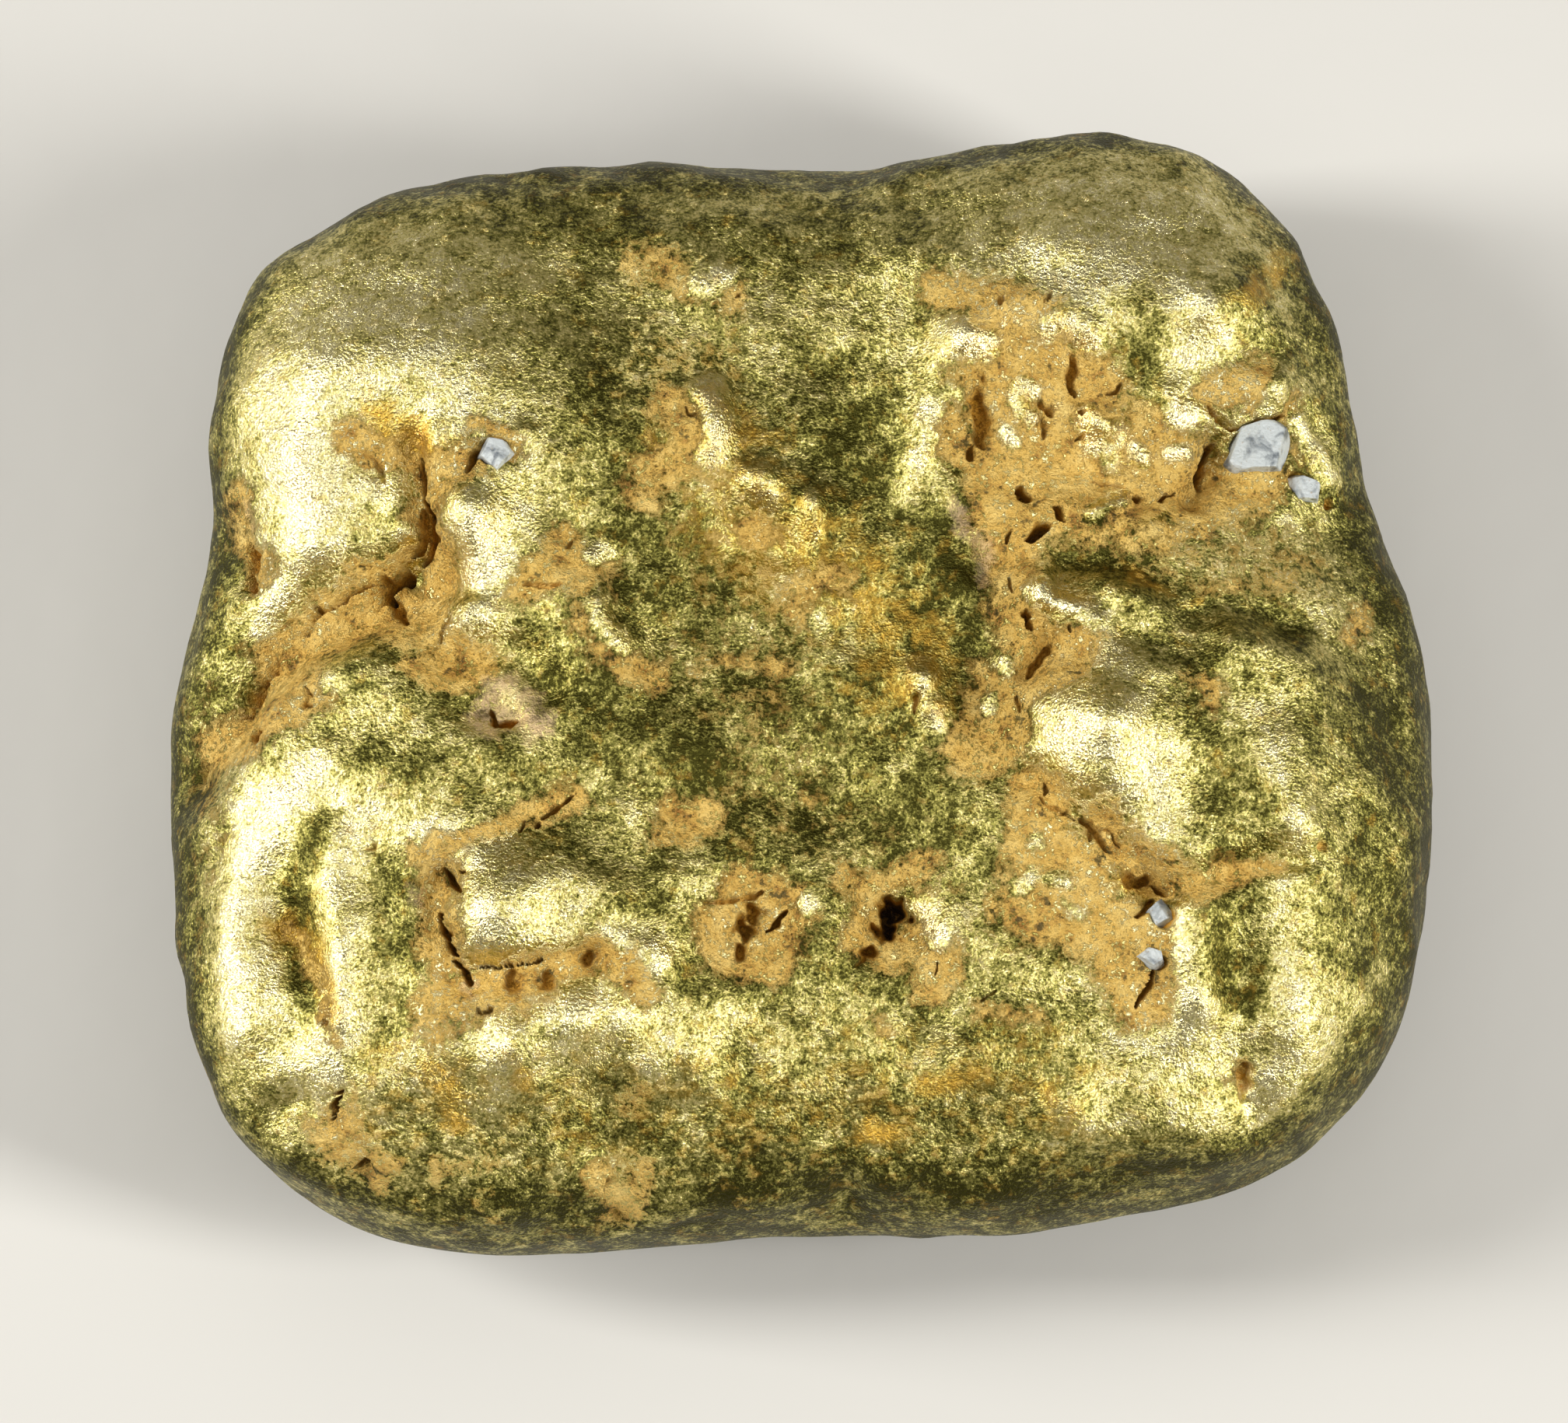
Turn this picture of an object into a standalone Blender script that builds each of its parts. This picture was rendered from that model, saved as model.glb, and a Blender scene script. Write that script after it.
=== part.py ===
# A water-worn nugget of native gold, squarish and pillow-shaped, about 16 mm across.
# Four rounded lobes stand round a dished middle. Folds, pits and cracks break the
# surface, and a few quartz grains are wedged in the deeper pits.
# Metres, +Z up. The origin lies on the floor under the middle of the nugget, X is its
# width and Y its depth. The relief below is written in millimetres.
import math

import bmesh
import bpy
import numpy as np
from mathutils import Matrix, Vector, noise

MM = 0.001

# height of the widest line round the nugget, and of the pillow above and below it
RIM_HEIGHT = 2.45
CROWN = 3.05
BELLY = 2.6
# how square the pillow's section is: 2 is an ellipse, larger is fuller
CROWN_POWER = 2.5
BELLY_POWER = 2.15
# squares along the width and down the side of the block that the pillow starts from
GRID = 104
SIDE_GRID = 26
TRIANGLES = 6600
# the grains are under a millimetre, so the gap round them is kept in proportion
GAP = 0.04

# plan outline, anticlockwise from the right-hand side, where the nugget is widest
OUTLINE = [
    (8.12, -0.60), (8.02, 0.40), (7.75, 1.40), (7.45, 2.30), (7.22, 3.05),
    (6.88, 4.00), (6.64, 4.98), (6.48, 5.68), (6.10, 6.34), (5.60, 6.88),
    (5.02, 7.24), (4.36, 7.40), (3.38, 7.34), (2.38, 7.22), (1.40, 7.14),
    (0.60, 7.05), (-0.60, 7.02), (-1.60, 7.04), (-2.90, 7.02), (-4.18, 6.90),
    (-5.28, 6.60), (-6.25, 6.14), (-6.98, 5.58), (-7.32, 5.00), (-7.46, 4.00),
    (-7.46, 3.00), (-7.48, 2.00), (-7.78, 1.00), (-8.02, 0.00), (-8.08, -1.00),
    (-8.02, -2.08), (-7.86, -3.12), (-7.76, -4.15), (-7.58, -5.10), (-7.28, -5.62),
    (-6.76, -6.25), (-6.16, -6.66), (-5.50, -6.96), (-4.72, -7.18), (-3.84, -7.26),
    (-2.80, -7.18), (-1.30, -7.04), (0.20, -6.90), (1.70, -7.00), (3.20, -6.92),
    (4.60, -6.66), (5.30, -6.48), (6.02, -6.18), (6.55, -5.86), (6.98, -5.46),
    (7.42, -4.95), (7.74, -4.15), (7.98, -3.12), (8.10, -2.10),
]

# broad swells and hollows of the upper side, full like a cushion: centre, half-widths,
# turn, height
SWELLS = [
    ("upper left lobe", -5.3, 3.4, 2.5, 2.6, 10, 0.42),
    ("lower left lobe", -5.2, -3.6, 3.0, 3.2, 0, 0.48),
    ("upper right lobe", 4.7, 4.6, 3.1, 2.5, 0, 0.42),
    ("lower right lobe", 5.3, -2.3, 2.5, 3.0, 0, 0.52),
    ("middle valley", 0.5, 1.2, 2.2, 4.4, 0, -0.42),
    ("upper right basin", 3.6, 3.0, 1.7, 1.25, 10, -0.36),
    ("lower right hollow", 3.6, -3.3, 1.1, 1.4, 0, -0.24),
    ("front slope", -0.6, -4.6, 3.6, 1.4, 0, 0.16),
]

# knobs and lumps, and small hollows where the height is negative
LUMPS = [
    ("shoulder of the upper left lobe", -5.5, 3.75, 1.3, 0.6, 0, 0.16),
    ("left flank of the upper left lobe", -6.5, 2.3, 0.8, 1.5, 0, 0.16),
    ("upper left basin", -5.1, 2.6, 0.55, 0.8, 0, -0.22),
    ("knob in the upper left", -4.15, 1.85, 0.42, 0.46, 0, 0.30),
    ("lump under the knob", -4.25, 0.40, 0.52, 0.42, -15, 0.30),
    ("diagonal lump", -2.85, 0.60, 0.40, 1.15, 35, 0.24),
    ("hollow beside the knob", -3.3, 1.9, 0.5, 0.8, 0, -0.14),
    ("hollow left of the middle", -2.5, 4.3, 1.3, 1.1, 0, -0.22),
    ("middle knob, upper", -1.25, 3.15, 0.50, 0.60, 0, 0.30),
    ("middle knob, centre", -0.72, 2.25, 0.45, 0.42, 0, 0.28),
    ("middle knob, right", 0.10, 1.90, 0.45, 0.40, 0, 0.24),
    ("low swell in the middle", 0.20, 0.90, 0.70, 0.40, 0, 0.14),
    ("middle dimple", -0.45, 1.45, 0.45, 0.35, 0, -0.16),
    ("hollow under the knobs", -1.6, 0.3, 0.8, 0.9, 20, -0.18),
    ("swell of the lower middle", -0.9, -1.1, 0.9, 0.6, 0, 0.14),
    ("hollow of the lower middle", 0.6, -1.9, 1.0, 0.7, 0, -0.14),
    ("knob of the upper right lobe", 5.15, 4.60, 0.50, 0.50, 0, 0.30),
    ("lump at the back right", 3.30, 5.30, 0.35, 0.45, 0, 0.16),
    ("lump left of the basin", 2.10, 4.15, 0.50, 0.60, 0, 0.22),
    ("lump above the basin", 3.0, 4.35, 0.45, 0.30, 0, 0.14),
    ("island in the basin", 3.9, 3.1, 0.40, 0.35, 0, 0.16),
    ("second island in the basin", 4.7, 3.3, 0.35, 0.45, 0, 0.14),
    ("dome over the quartz", 5.70, 3.50, 0.50, 0.30, 0, 0.20),
    ("rim beside the quartz", 6.75, 2.95, 0.28, 0.60, 0, 0.14),
    ("bay right of the basin", 5.0, 2.3, 0.60, 0.40, 20, -0.16),
    ("lip of the ledge", 3.5, 0.72, 0.85, 0.45, -12, 0.30),
    ("great lump of the right lobe", 3.85, -0.90, 0.85, 0.90, 0, 0.34),
    ("hollow between lip and lump", 3.4, 0.0, 0.5, 0.3, 0, -0.14),
    ("hollow right of the great lump", 5.0, -1.0, 0.5, 0.7, 0, -0.12),
    ("small lump by the middle", 1.55, -0.45, 0.30, 0.30, 0, 0.20),
    ("lump in the lower left bend", -3.90, -3.40, 0.55, 0.55, 0, 0.32),
    ("tail of that lump", -2.60, -3.15, 0.90, 0.40, 0, 0.16),
    ("hollow above the bend", -3.4, -2.0, 0.9, 0.5, 0, -0.16),
    ("lump below the bend", -3.80, -5.20, 0.60, 0.50, 0, 0.24),
    ("second lump below the bend", -2.90, -4.80, 0.50, 0.42, 0, 0.20),
    ("small rimmed lump", -1.95, -4.10, 0.42, 0.36, 0, 0.22),
    ("low front lump", -1.85, -5.30, 0.50, 0.42, 0, 0.18),
    ("hollow between front lumps", -2.4, -5.9, 0.5, 0.5, 0, -0.12),
    ("dimple of the lower left ridge", -6.40, -3.70, 0.30, 0.45, 0, -0.16),
    ("second dimple of the ridge", -6.3, -5.6, 0.35, 0.30, 0, -0.10),
    ("pit left of the middle", -3.90, -0.80, 0.50, 0.36, 0, -0.30),
    ("dish of the front pit", -0.70, -3.70, 0.85, 0.60, 0, -0.22),
    ("dish of the dark pit", 1.20, -3.55, 0.70, 0.62, 0, -0.24),
    ("wall between the pits", 0.25, -3.75, 0.35, 0.5, 0, 0.14),
    ("right wall of the dark pit", 1.95, -3.6, 0.35, 0.45, 0, 0.20),
    ("dish of the ochre patch", -1.50, -2.20, 0.50, 0.36, 0, -0.12),
    ("crystal cavity", 4.45, -3.10, 0.34, 0.26, 0, -0.32),
    ("lower right dimple", 5.78, -5.70, 0.34, 0.30, 0, -0.26),
    ("flat of the right flank", 5.70, -4.30, 0.50, 1.00, 0, -0.20),
    ("dent of the left waist", -7.05, 1.60, 0.35, 0.50, 0, -0.18),
    ("swell at the front right", 3.60, -5.90, 1.20, 0.60, 0, 0.14),
    ("front hollow", 1.2, -5.4, 1.0, 0.7, 0, -0.14),
    ("back saddle", 0.5, 6.6, 1.2, 1.2, 0, -0.14),
    ("notch at the front edge", 0.60, -6.90, 0.22, 0.60, 0, -0.20),
]

# long ridges: half-width, height, and the line of the crest
RIDGES = [
    ("left edge of the upper left lobe", 0.60, 0.12,
     [(-6.0, 3.5), (-6.15, 2.8), (-6.2, 2.0), (-6.4, 1.2), (-6.8, 0.5)]),
    ("upper edge of the lower left lobe", 0.55, 0.26,
     [(-7.2, -1.5), (-6.6, -0.85), (-6.1, -0.45), (-5.5, -0.25), (-4.9, -0.35), (-4.4, -0.7)]),
    ("left edge of the lower left lobe", 0.75, 0.16,
     [(-5.5, -1.5), (-6.2, -1.8), (-6.7, -2.4), (-6.95, -3.2), (-7.0, -4.0), (-6.9, -4.8),
      (-6.7, -5.5)]),
    ("inner ridge of the lower left lobe", 0.35, 0.12,
     [(-5.95, -2.5), (-5.85, -3.2), (-5.75, -4.2), (-5.8, -5.0)]),
    ("tail of the knob", 0.28, 0.18, [(-4.15, 1.6), (-4.05, 1.05)]),
    ("back of the right lobe", 0.55, 0.26,
     [(4.3, 0.45), (4.9, -0.05), (5.5, -0.05), (6.2, -0.2)]),
    ("right edge of the right lobe", 0.65, 0.20,
     [(6.2, -1.2), (6.3, -2.2), (6.35, -3.2), (6.35, -4.2), (6.25, -5.2), (5.85, -5.95),
      (5.1, -6.0)]),
    ("bright ridge by the quartz", 0.26, 0.18, [(5.05, -3.3), (5.0, -4.4)]),
    ("ridge under the basin", 0.30, 0.14, [(2.2, 1.9), (2.9, 1.65), (3.6, 1.85), (4.4, 1.6)]),
    ("left wall of the basin", 0.35, 0.16, [(1.9, 3.8), (1.7, 3.1), (1.8, 2.3)]),
]

# folds and cracks: half-width, depth, and the line of the bottom
FOLDS = [
    ("fold between the left lobes", 0.85, 0.46,
     [(-7.5, -1.3), (-7.05, -0.3), (-6.5, 0.25), (-5.8, 0.6), (-5.1, 0.95), (-4.7, 0.8)]),
    ("crack in the upper left", 0.36, 0.34,
     [(-4.9, 2.7), (-4.83, 2.1), (-4.72, 1.5), (-5.05, 1.05), (-5.15, 0.65)]),
    ("hollow under the left lump", 0.45, 0.26, [(-4.4, -0.15), (-3.7, 0.0), (-3.2, -0.5)]),
    ("bend in the lower left", 0.38, 0.30,
     [(-4.5, -3.0), (-4.62, -3.6), (-4.35, -4.2), (-3.8, -4.25), (-3.2, -4.15), (-2.7, -4.05)]),
    ("fold under the basin", 0.50, 0.48,
     [(2.8, 1.35), (3.5, 1.4), (4.0, 1.25), (4.4, 0.95), (4.9, 0.58), (5.3, 0.6), (6.1, 0.4)]),
    ("band beside the right lobe", 0.75, 0.26,
     [(2.5, 1.5), (2.35, 0.6), (2.35, -0.4), (2.6, -1.6)]),
    ("crack beside the ledge", 0.26, 0.20, [(3.1, 0.35), (3.15, -0.05), (2.9, -0.35)]),
    ("cracks of the lower right", 0.34, 0.24,
     [(3.0, -1.7), (3.4, -2.1), (3.9, -2.35), (4.4, -2.9)]),
    ("crease of the lower right", 0.36, 0.20, [(4.7, -3.1), (5.4, -2.85), (6.1, -2.6)]),
    ("slit by the quartz", 0.34, 0.30, [(5.35, 2.85), (5.35, 2.5), (5.1, 2.15)]),
]

# swells and hollows of the underside, outward where positive
UNDERSIDE = [
    ("hollow at the back left", -4.4, 3.6, 1.6, 1.2, 20, -0.26),
    ("hollow at the front right", 4.8, -3.2, 1.3, 1.8, -30, -0.30),
    ("swell at the back right", 4.0, 3.8, 1.8, 1.5, 0, 0.20),
    ("swell at the front left", -4.6, -3.4, 1.9, 1.5, 0, 0.18),
    ("dent at the back", 0.9, 5.2, 0.8, 0.6, 0, -0.24),
    ("dent at the left", -6.0, -0.6, 0.6, 1.0, 15, -0.22),
]
UNDERSIDE_FOLDS = [
    ("fold at the left", 0.60, 0.26, [(-7.0, -1.6), (-5.2, -0.9), (-3.6, 0.5), (-3.4, 1.6)]),
    ("fold at the front", 0.55, 0.24, [(2.0, -6.6), (2.4, -4.6), (3.6, -2.9), (5.2, -1.9)]),
]

# open pits cut into the gold: centre, half-widths, turn, depth under the surface
PITS = [
    ("front pit", -0.68, -3.72, 0.15, 0.28, -15, 0.55),
    ("dark pit", 1.18, -3.55, 0.26, 0.22, 20, 0.60),
    ("long pit of the basin", 2.28, 3.20, 0.14, 0.52, 4, 0.45),
    ("upper pit of the basin", 3.50, 3.70, 0.20, 0.18, 0, 0.40),
    ("lower pit of the basin", 3.30, 1.98, 0.20, 0.14, 15, 0.35),
    ("hole in the upper left", -5.10, 1.00, 0.20, 0.22, -30, 0.55),
    ("pocket left of the middle", -3.85, -0.72, 0.18, 0.15, 0, 0.35),
    ("pocket of the bend", -4.30, -4.20, 0.20, 0.16, 0, 0.35),
]

# quartz grains: centre, half-widths, turn, how far the top stands out of its pit, seed
GRAINS = [
    ("quartz_grain_upper_right", 5.88, 2.84, 0.38, 0.33, 0.32, -10, 0.16, 3),
    ("quartz_chip_upper_right", 6.44, 2.40, 0.26, 0.16, 0.20, -34, 0.11, 8),
    ("quartz_grain_upper_left", -3.87, 2.54, 0.22, 0.21, 0.22, 0, 0.13, 12),
    ("quartz_grain_lower_right", 4.59, -3.45, 0.15, 0.18, 0.19, 10, 0.10, 21),
    ("quartz_chip_lower_right", 4.49, -4.02, 0.16, 0.11, 0.15, -20, 0.08, 30),
]


def new_object(name, bm, collection, material=None):
    mesh = bpy.data.meshes.new(name)
    bm.to_mesh(mesh)
    bm.free()
    thing = bpy.data.objects.new(name, mesh)
    if material:
        mesh.materials.append(material)
    collection.objects.link(thing)
    return thing


def new_material(name, colour, metallic, roughness):
    material = bpy.data.materials.new(name)
    material.use_nodes = True
    shader = material.node_tree.nodes["Principled BSDF"]
    shader.inputs["Base Color"].default_value = (*colour, 1.0)
    shader.inputs["Metallic"].default_value = metallic
    shader.inputs["Roughness"].default_value = roughness
    return material


def smooth_step(low, high, value):
    t = np.clip((value - low) / (high - low), 0.0, 1.0)
    return t * t * (3.0 - 2.0 * t)


def outline_radius(angle):
    """Distance from the middle to the plan outline, with its corners eased."""
    points = np.array(OUTLINE)
    bearing = np.arctan2(points[:, 1], points[:, 0])
    order = np.argsort(bearing)
    radius = np.hypot(points[:, 0], points[:, 1])[order]
    eased = np.zeros_like(angle)
    for turn in np.radians([-4.0, -2.0, 0.0, 2.0, 4.0]):
        eased += np.interp(angle + turn, bearing[order], radius, period=2.0 * math.pi)
    return eased / 5.0


def pillow(direction):
    """Point of the smooth pillow that lies in a direction from its middle."""
    angle = np.arctan2(direction[:, 1], direction[:, 0])
    rise = np.arcsin(np.clip(direction[:, 2], -1.0, 1.0))
    up = rise >= 0.0
    power = np.where(up, CROWN_POWER, BELLY_POWER)
    height = np.where(up, CROWN, -BELLY)
    reach = outline_radius(angle) * np.cos(rise) ** (2.0 / power)
    z = RIM_HEIGHT + height * np.abs(np.sin(rise)) ** (2.0 / power)
    return np.column_stack([reach * np.cos(angle), reach * np.sin(angle), z])


def mound(x, y, cx, cy, half_x, half_y, turn, fullness):
    """1 at the centre of an oval mound, falling away smoothly around it."""
    c, s = math.cos(math.radians(turn)), math.sin(math.radians(turn))
    u = ((x - cx) * c + (y - cy) * s) / half_x
    v = ((y - cy) * c - (x - cx) * s) / half_y
    return np.exp(-((u * u + v * v) ** fullness))


def distance_to_line(x, y, line):
    nearest = np.full(x.shape, 1e9)
    for (ax, ay), (bx, by) in zip(line, line[1:]):
        ux, uy = bx - ax, by - ay
        t = np.clip(((x - ax) * ux + (y - ay) * uy) / (ux * ux + uy * uy), 0.0, 1.0)
        nearest = np.minimum(nearest, np.hypot(x - ax - t * ux, y - ay - t * uy))
    return nearest


def relief(x, y, mounds, fullness, folds):
    """Height of a side's mounds and folds over the pillow."""
    height = np.zeros_like(x)
    for _, cx, cy, half_x, half_y, turn, rise in mounds:
        height += rise * mound(x, y, cx, cy, half_x, half_y, turn, fullness)
    for _, half_width, depth, line in folds:
        height -= depth * smooth_step(half_width, 0.0, distance_to_line(x, y, line))
    return height


def upper_relief(x, y):
    height = relief(x, y, SWELLS, 1.8, FOLDS) + relief(x, y, LUMPS, 1.0, [])
    for _, half_width, rise, line in RIDGES:
        height += rise * np.exp(-((distance_to_line(x, y, line) / half_width) ** 2))
    return height


def hammering(points, size, seed):
    """Soft random dents about as wide as size."""
    shift = Vector((seed, 0.37 * seed, -0.61 * seed))
    return np.array([noise.noise(Vector(p) / size + shift) for p in points])


def build_pillow_grid():
    """A flat block cut into a fine grid, all four-sided."""
    bm = bmesh.new()
    bmesh.ops.create_cube(bm, size=2.0, matrix=Matrix.Diagonal((1.0, 1.0, 0.42, 1.0)))
    upright = [e for e in bm.edges if abs(e.verts[0].co.z - e.verts[1].co.z) > 0.1]
    bmesh.ops.subdivide_edges(bm, edges=upright, cuts=SIDE_GRID - 1)
    level = [e for e in bm.edges if abs(e.verts[0].co.z - e.verts[1].co.z) < 0.001]
    bmesh.ops.subdivide_edges(bm, edges=level, cuts=GRID - 1, use_grid_fill=True)
    return bm


def shape_nugget(bm):
    """Bring the block to the pillow's form, then push the relief out along its normals."""
    direction = np.array([v.co.normalized() for v in bm.verts])
    smooth = pillow(direction)
    for vert, point in zip(bm.verts, smooth):
        vert.co = point
    bm.normal_update()
    normal = np.array([v.normal for v in bm.verts])
    x, y, z = smooth.T
    upper = smooth_step(RIM_HEIGHT + 0.1, RIM_HEIGHT + 1.3, z)
    lower = smooth_step(RIM_HEIGHT + 0.3, RIM_HEIGHT - 0.9, z)
    push = upper * upper_relief(x, y)
    push += lower * relief(x, y, UNDERSIDE, 1.0, UNDERSIDE_FOLDS)
    push += (0.03 + 0.07 * upper) * hammering(smooth, 0.8, 5.0)
    push += (0.06 + 0.08 * upper) * hammering(smooth, 1.9, 11.0)
    push += lower * (0.14 * hammering(smooth, 2.6, 23.0) + 0.07 * hammering(smooth, 1.0, 31.0))
    moved = smooth + normal * push[:, None]
    for vert, point in zip(bm.verts, moved):
        vert.co = point * MM
    bm.normal_update()
    return moved


def surface_height(points, x, y):
    """Height of the shaped upper side over a place in plan."""
    top = points[points[:, 2] > RIM_HEIGHT]
    away = np.hypot(top[:, 0] - x, top[:, 1] - y)
    near = np.argsort(away)[:6]
    return float(top[near, 2].mean())


def cut(body, cutter):
    """Take the cutter's form out of the body."""
    cutter.hide_render = True
    cutter.display_type = "WIRE"
    step = body.modifiers.new("cut " + cutter.name, "BOOLEAN")
    step.operation = "DIFFERENCE"
    step.solver = "EXACT"
    step.object = cutter


def place(thing, x, y, z, turn):
    thing.location = (x * MM, y * MM, z * MM)
    thing.rotation_euler.z = math.radians(turn)
    return thing


def plug_mesh(seed, half_x, half_y, depth):
    """A rounded, slightly ragged plug that hollows out a pit."""
    bm = bmesh.new()
    bmesh.ops.create_icosphere(bm, subdivisions=2, radius=1.0)
    random = np.random.default_rng(seed)
    for vert in bm.verts:
        vert.co *= 1.0 + 0.14 * float(random.uniform(-1.0, 1.0))
    bmesh.ops.scale(bm, vec=(half_x * MM, half_y * MM, depth * MM), verts=bm.verts)
    return bm


def grain_mesh(seed, half_x, half_y, half_z, margin):
    """An angular grain: a rough ball with flats broken off it, grown outwards by a margin."""
    bm = bmesh.new()
    bmesh.ops.create_icosphere(bm, subdivisions=2, radius=1.0)
    random = np.random.default_rng(seed)
    for _ in range(9):
        way = Vector(random.normal(size=3)).normalized()
        cut_at = 0.78 + 0.14 * float(random.uniform())
        geom = bm.verts[:] + bm.edges[:] + bm.faces[:]
        made = bmesh.ops.bisect_plane(
            bm, geom=geom, plane_co=way * cut_at, plane_no=way, clear_outer=True
        )
        rim = [e for e in made["geom_cut"] if isinstance(e, bmesh.types.BMEdge)]
        bmesh.ops.holes_fill(bm, edges=rim, sides=0)
    bmesh.ops.remove_doubles(bm, verts=bm.verts, dist=0.02)
    for vert in bm.verts:
        point = Vector((vert.co.x * half_x, vert.co.y * half_y, vert.co.z * half_z))
        vert.co = (point + point.normalized() * margin) * MM
    bmesh.ops.triangulate(bm, faces=bm.faces)
    bmesh.ops.recalc_face_normals(bm, faces=bm.faces)
    return bm


def main():
    for thing in list(bpy.data.objects):
        bpy.data.objects.remove(thing, do_unlink=True)
    parts = bpy.data.collections.new("gold nugget")
    cutters = bpy.data.collections.new("cutters")
    for collection in (parts, cutters):
        bpy.context.scene.collection.children.link(collection)

    gold = new_material("native gold", (0.62, 0.47, 0.16), 1.0, 0.36)
    quartz = new_material("milky quartz", (0.46, 0.49, 0.47), 0.0, 0.35)

    bm = build_pillow_grid()
    points = shape_nugget(bm)
    dense = 2 * len(bm.faces)
    nugget = new_object("gold_nugget", bm, parts, gold)
    thin = nugget.modifiers.new("fewer triangles", "DECIMATE")
    thin.ratio = TRIANGLES / dense

    # the bed it lay on wore the lowest bulges of the underside flat
    bm = bmesh.new()
    bmesh.ops.create_cube(bm, size=1.0, matrix=Matrix.Diagonal((0.03, 0.03, 0.004, 1.0)))
    bed = new_object("worn flat", bm, cutters)
    cut(nugget, place(bed, 0.0, 0.0, -2.0, 0.0))

    for seed, (name, cx, cy, half_x, half_y, turn, depth) in enumerate(PITS):
        z = surface_height(points, cx, cy) + 0.1 * depth
        plug = new_object(name, plug_mesh(seed, half_x, half_y, depth), cutters)
        cut(nugget, place(plug, cx, cy, z, turn))

    for name, cx, cy, half_x, half_y, half_z, turn, stand_out, seed in GRAINS:
        z = surface_height(points, cx, cy) + stand_out - half_z
        grain = new_object(name, grain_mesh(seed, half_x, half_y, half_z, 0.0), parts, quartz)
        place(grain, cx, cy, z, turn)
        bm = grain_mesh(seed, half_x, half_y, half_z, GAP)
        socket = new_object("socket of " + name, bm, cutters)
        cut(nugget, place(socket, cx, cy, z, turn))


main()
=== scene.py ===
import math

import bmesh
import bpy
import numpy as np
from mathutils import Matrix, Vector, noise


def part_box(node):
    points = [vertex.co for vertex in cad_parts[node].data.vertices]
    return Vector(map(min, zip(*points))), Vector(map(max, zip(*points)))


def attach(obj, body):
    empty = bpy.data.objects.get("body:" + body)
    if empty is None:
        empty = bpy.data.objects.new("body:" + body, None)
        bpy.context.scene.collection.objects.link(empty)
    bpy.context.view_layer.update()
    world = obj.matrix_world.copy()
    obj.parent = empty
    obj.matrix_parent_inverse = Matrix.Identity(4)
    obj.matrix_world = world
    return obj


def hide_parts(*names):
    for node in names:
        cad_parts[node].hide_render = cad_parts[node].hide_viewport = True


# A water-worn nugget of native gold, 16 mm across, with iron-stained clay in its
# hollows and a few grains of milky quartz wedged in its pits.
# Blender works in metres; the tables below are in millimetres.
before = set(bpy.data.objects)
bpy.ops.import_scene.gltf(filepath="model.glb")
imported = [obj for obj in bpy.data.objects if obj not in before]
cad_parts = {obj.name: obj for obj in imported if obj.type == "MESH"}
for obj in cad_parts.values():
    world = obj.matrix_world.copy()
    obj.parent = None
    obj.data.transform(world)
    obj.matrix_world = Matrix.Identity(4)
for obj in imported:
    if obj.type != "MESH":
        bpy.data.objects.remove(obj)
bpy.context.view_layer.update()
mm = 0.001
perMm = (1.0 / mm,) * 3  # turns metres into mm, for the patterns
farAway = 1e9  # mm, further off than anything
print("loaded the frame:", ", ".join(sorted(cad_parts)))


def hexColour(code):
    # an sRGB hex colour made linear, as the shader sockets want it
    shares = [int(code[i:i + 2], 16) / 255 for i in (1, 3, 5)]
    return tuple(s / 12.92 if s <= 0.04045 else ((s + 0.055) / 1.055) ** 2.4 for s in shares) + (1.0,)


def newPiece(name, bm, material):
    # an object of the scene, made from a bmesh
    mesh = bpy.data.meshes.new(name)
    bm.to_mesh(mesh)
    bm.free()
    mesh.materials.append(material)
    piece = bpy.data.objects.new(name, mesh)
    bpy.context.scene.collection.objects.link(piece)
    return piece


def newMaterial(name):
    material = bpy.data.materials.new(name)
    material.use_nodes = True
    return material, material.node_tree.nodes["Principled BSDF"]


def addNode(material, kind, inputs, output=0, **settings):
    # adds a node, sets it, fills or links its inputs, and gives back one of its outputs
    tree = material.node_tree
    node = tree.nodes.new("ShaderNode" + kind)
    for key, value in settings.items():
        setattr(node, key, value)
    for key, value in inputs.items():
        if isinstance(value, bpy.types.NodeSocket):
            tree.links.new(value, node.inputs[key])
        else:
            node.inputs[key].default_value = value
    return node.outputs[output]


def smoothStep(low, high, value):
    # 0 at low, 1 at high, with no kink at either
    t = np.clip((value - low) / (high - low), 0.0, 1.0)
    return t * t * (3.0 - 2.0 * t)


# how the photograph looks down on the nugget, lengths in mm
photo = {
    "elevation": 76.0,  # degrees above the floor
    "distance": 350.0,
    "lookAt": (-0.2, -0.204, 2.849),
    "width": 2016,  # pixels
    "height": 1830,
    "pixelsPerMm": 100.0,
}


def onPhoto(points):
    # where points of the nugget show in the photograph: mm across it and mm up it
    tilt = math.radians(photo["elevation"])
    across, back, up = (points - np.array(photo["lookAt"])).T
    shrink = 1.0 - (up * math.sin(tilt) - back * math.cos(tilt)) / photo["distance"]
    return across / shrink, (back * math.sin(tilt) + up * math.cos(tilt)) / shrink


def pixelLine(pixels):
    # places read off the photograph in its pixels, put in the same mm
    scale = photo["pixelsPerMm"]
    return [((px - photo["width"] / 2) / scale, (photo["height"] / 2 - py) / scale) for px, py in pixels]


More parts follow.
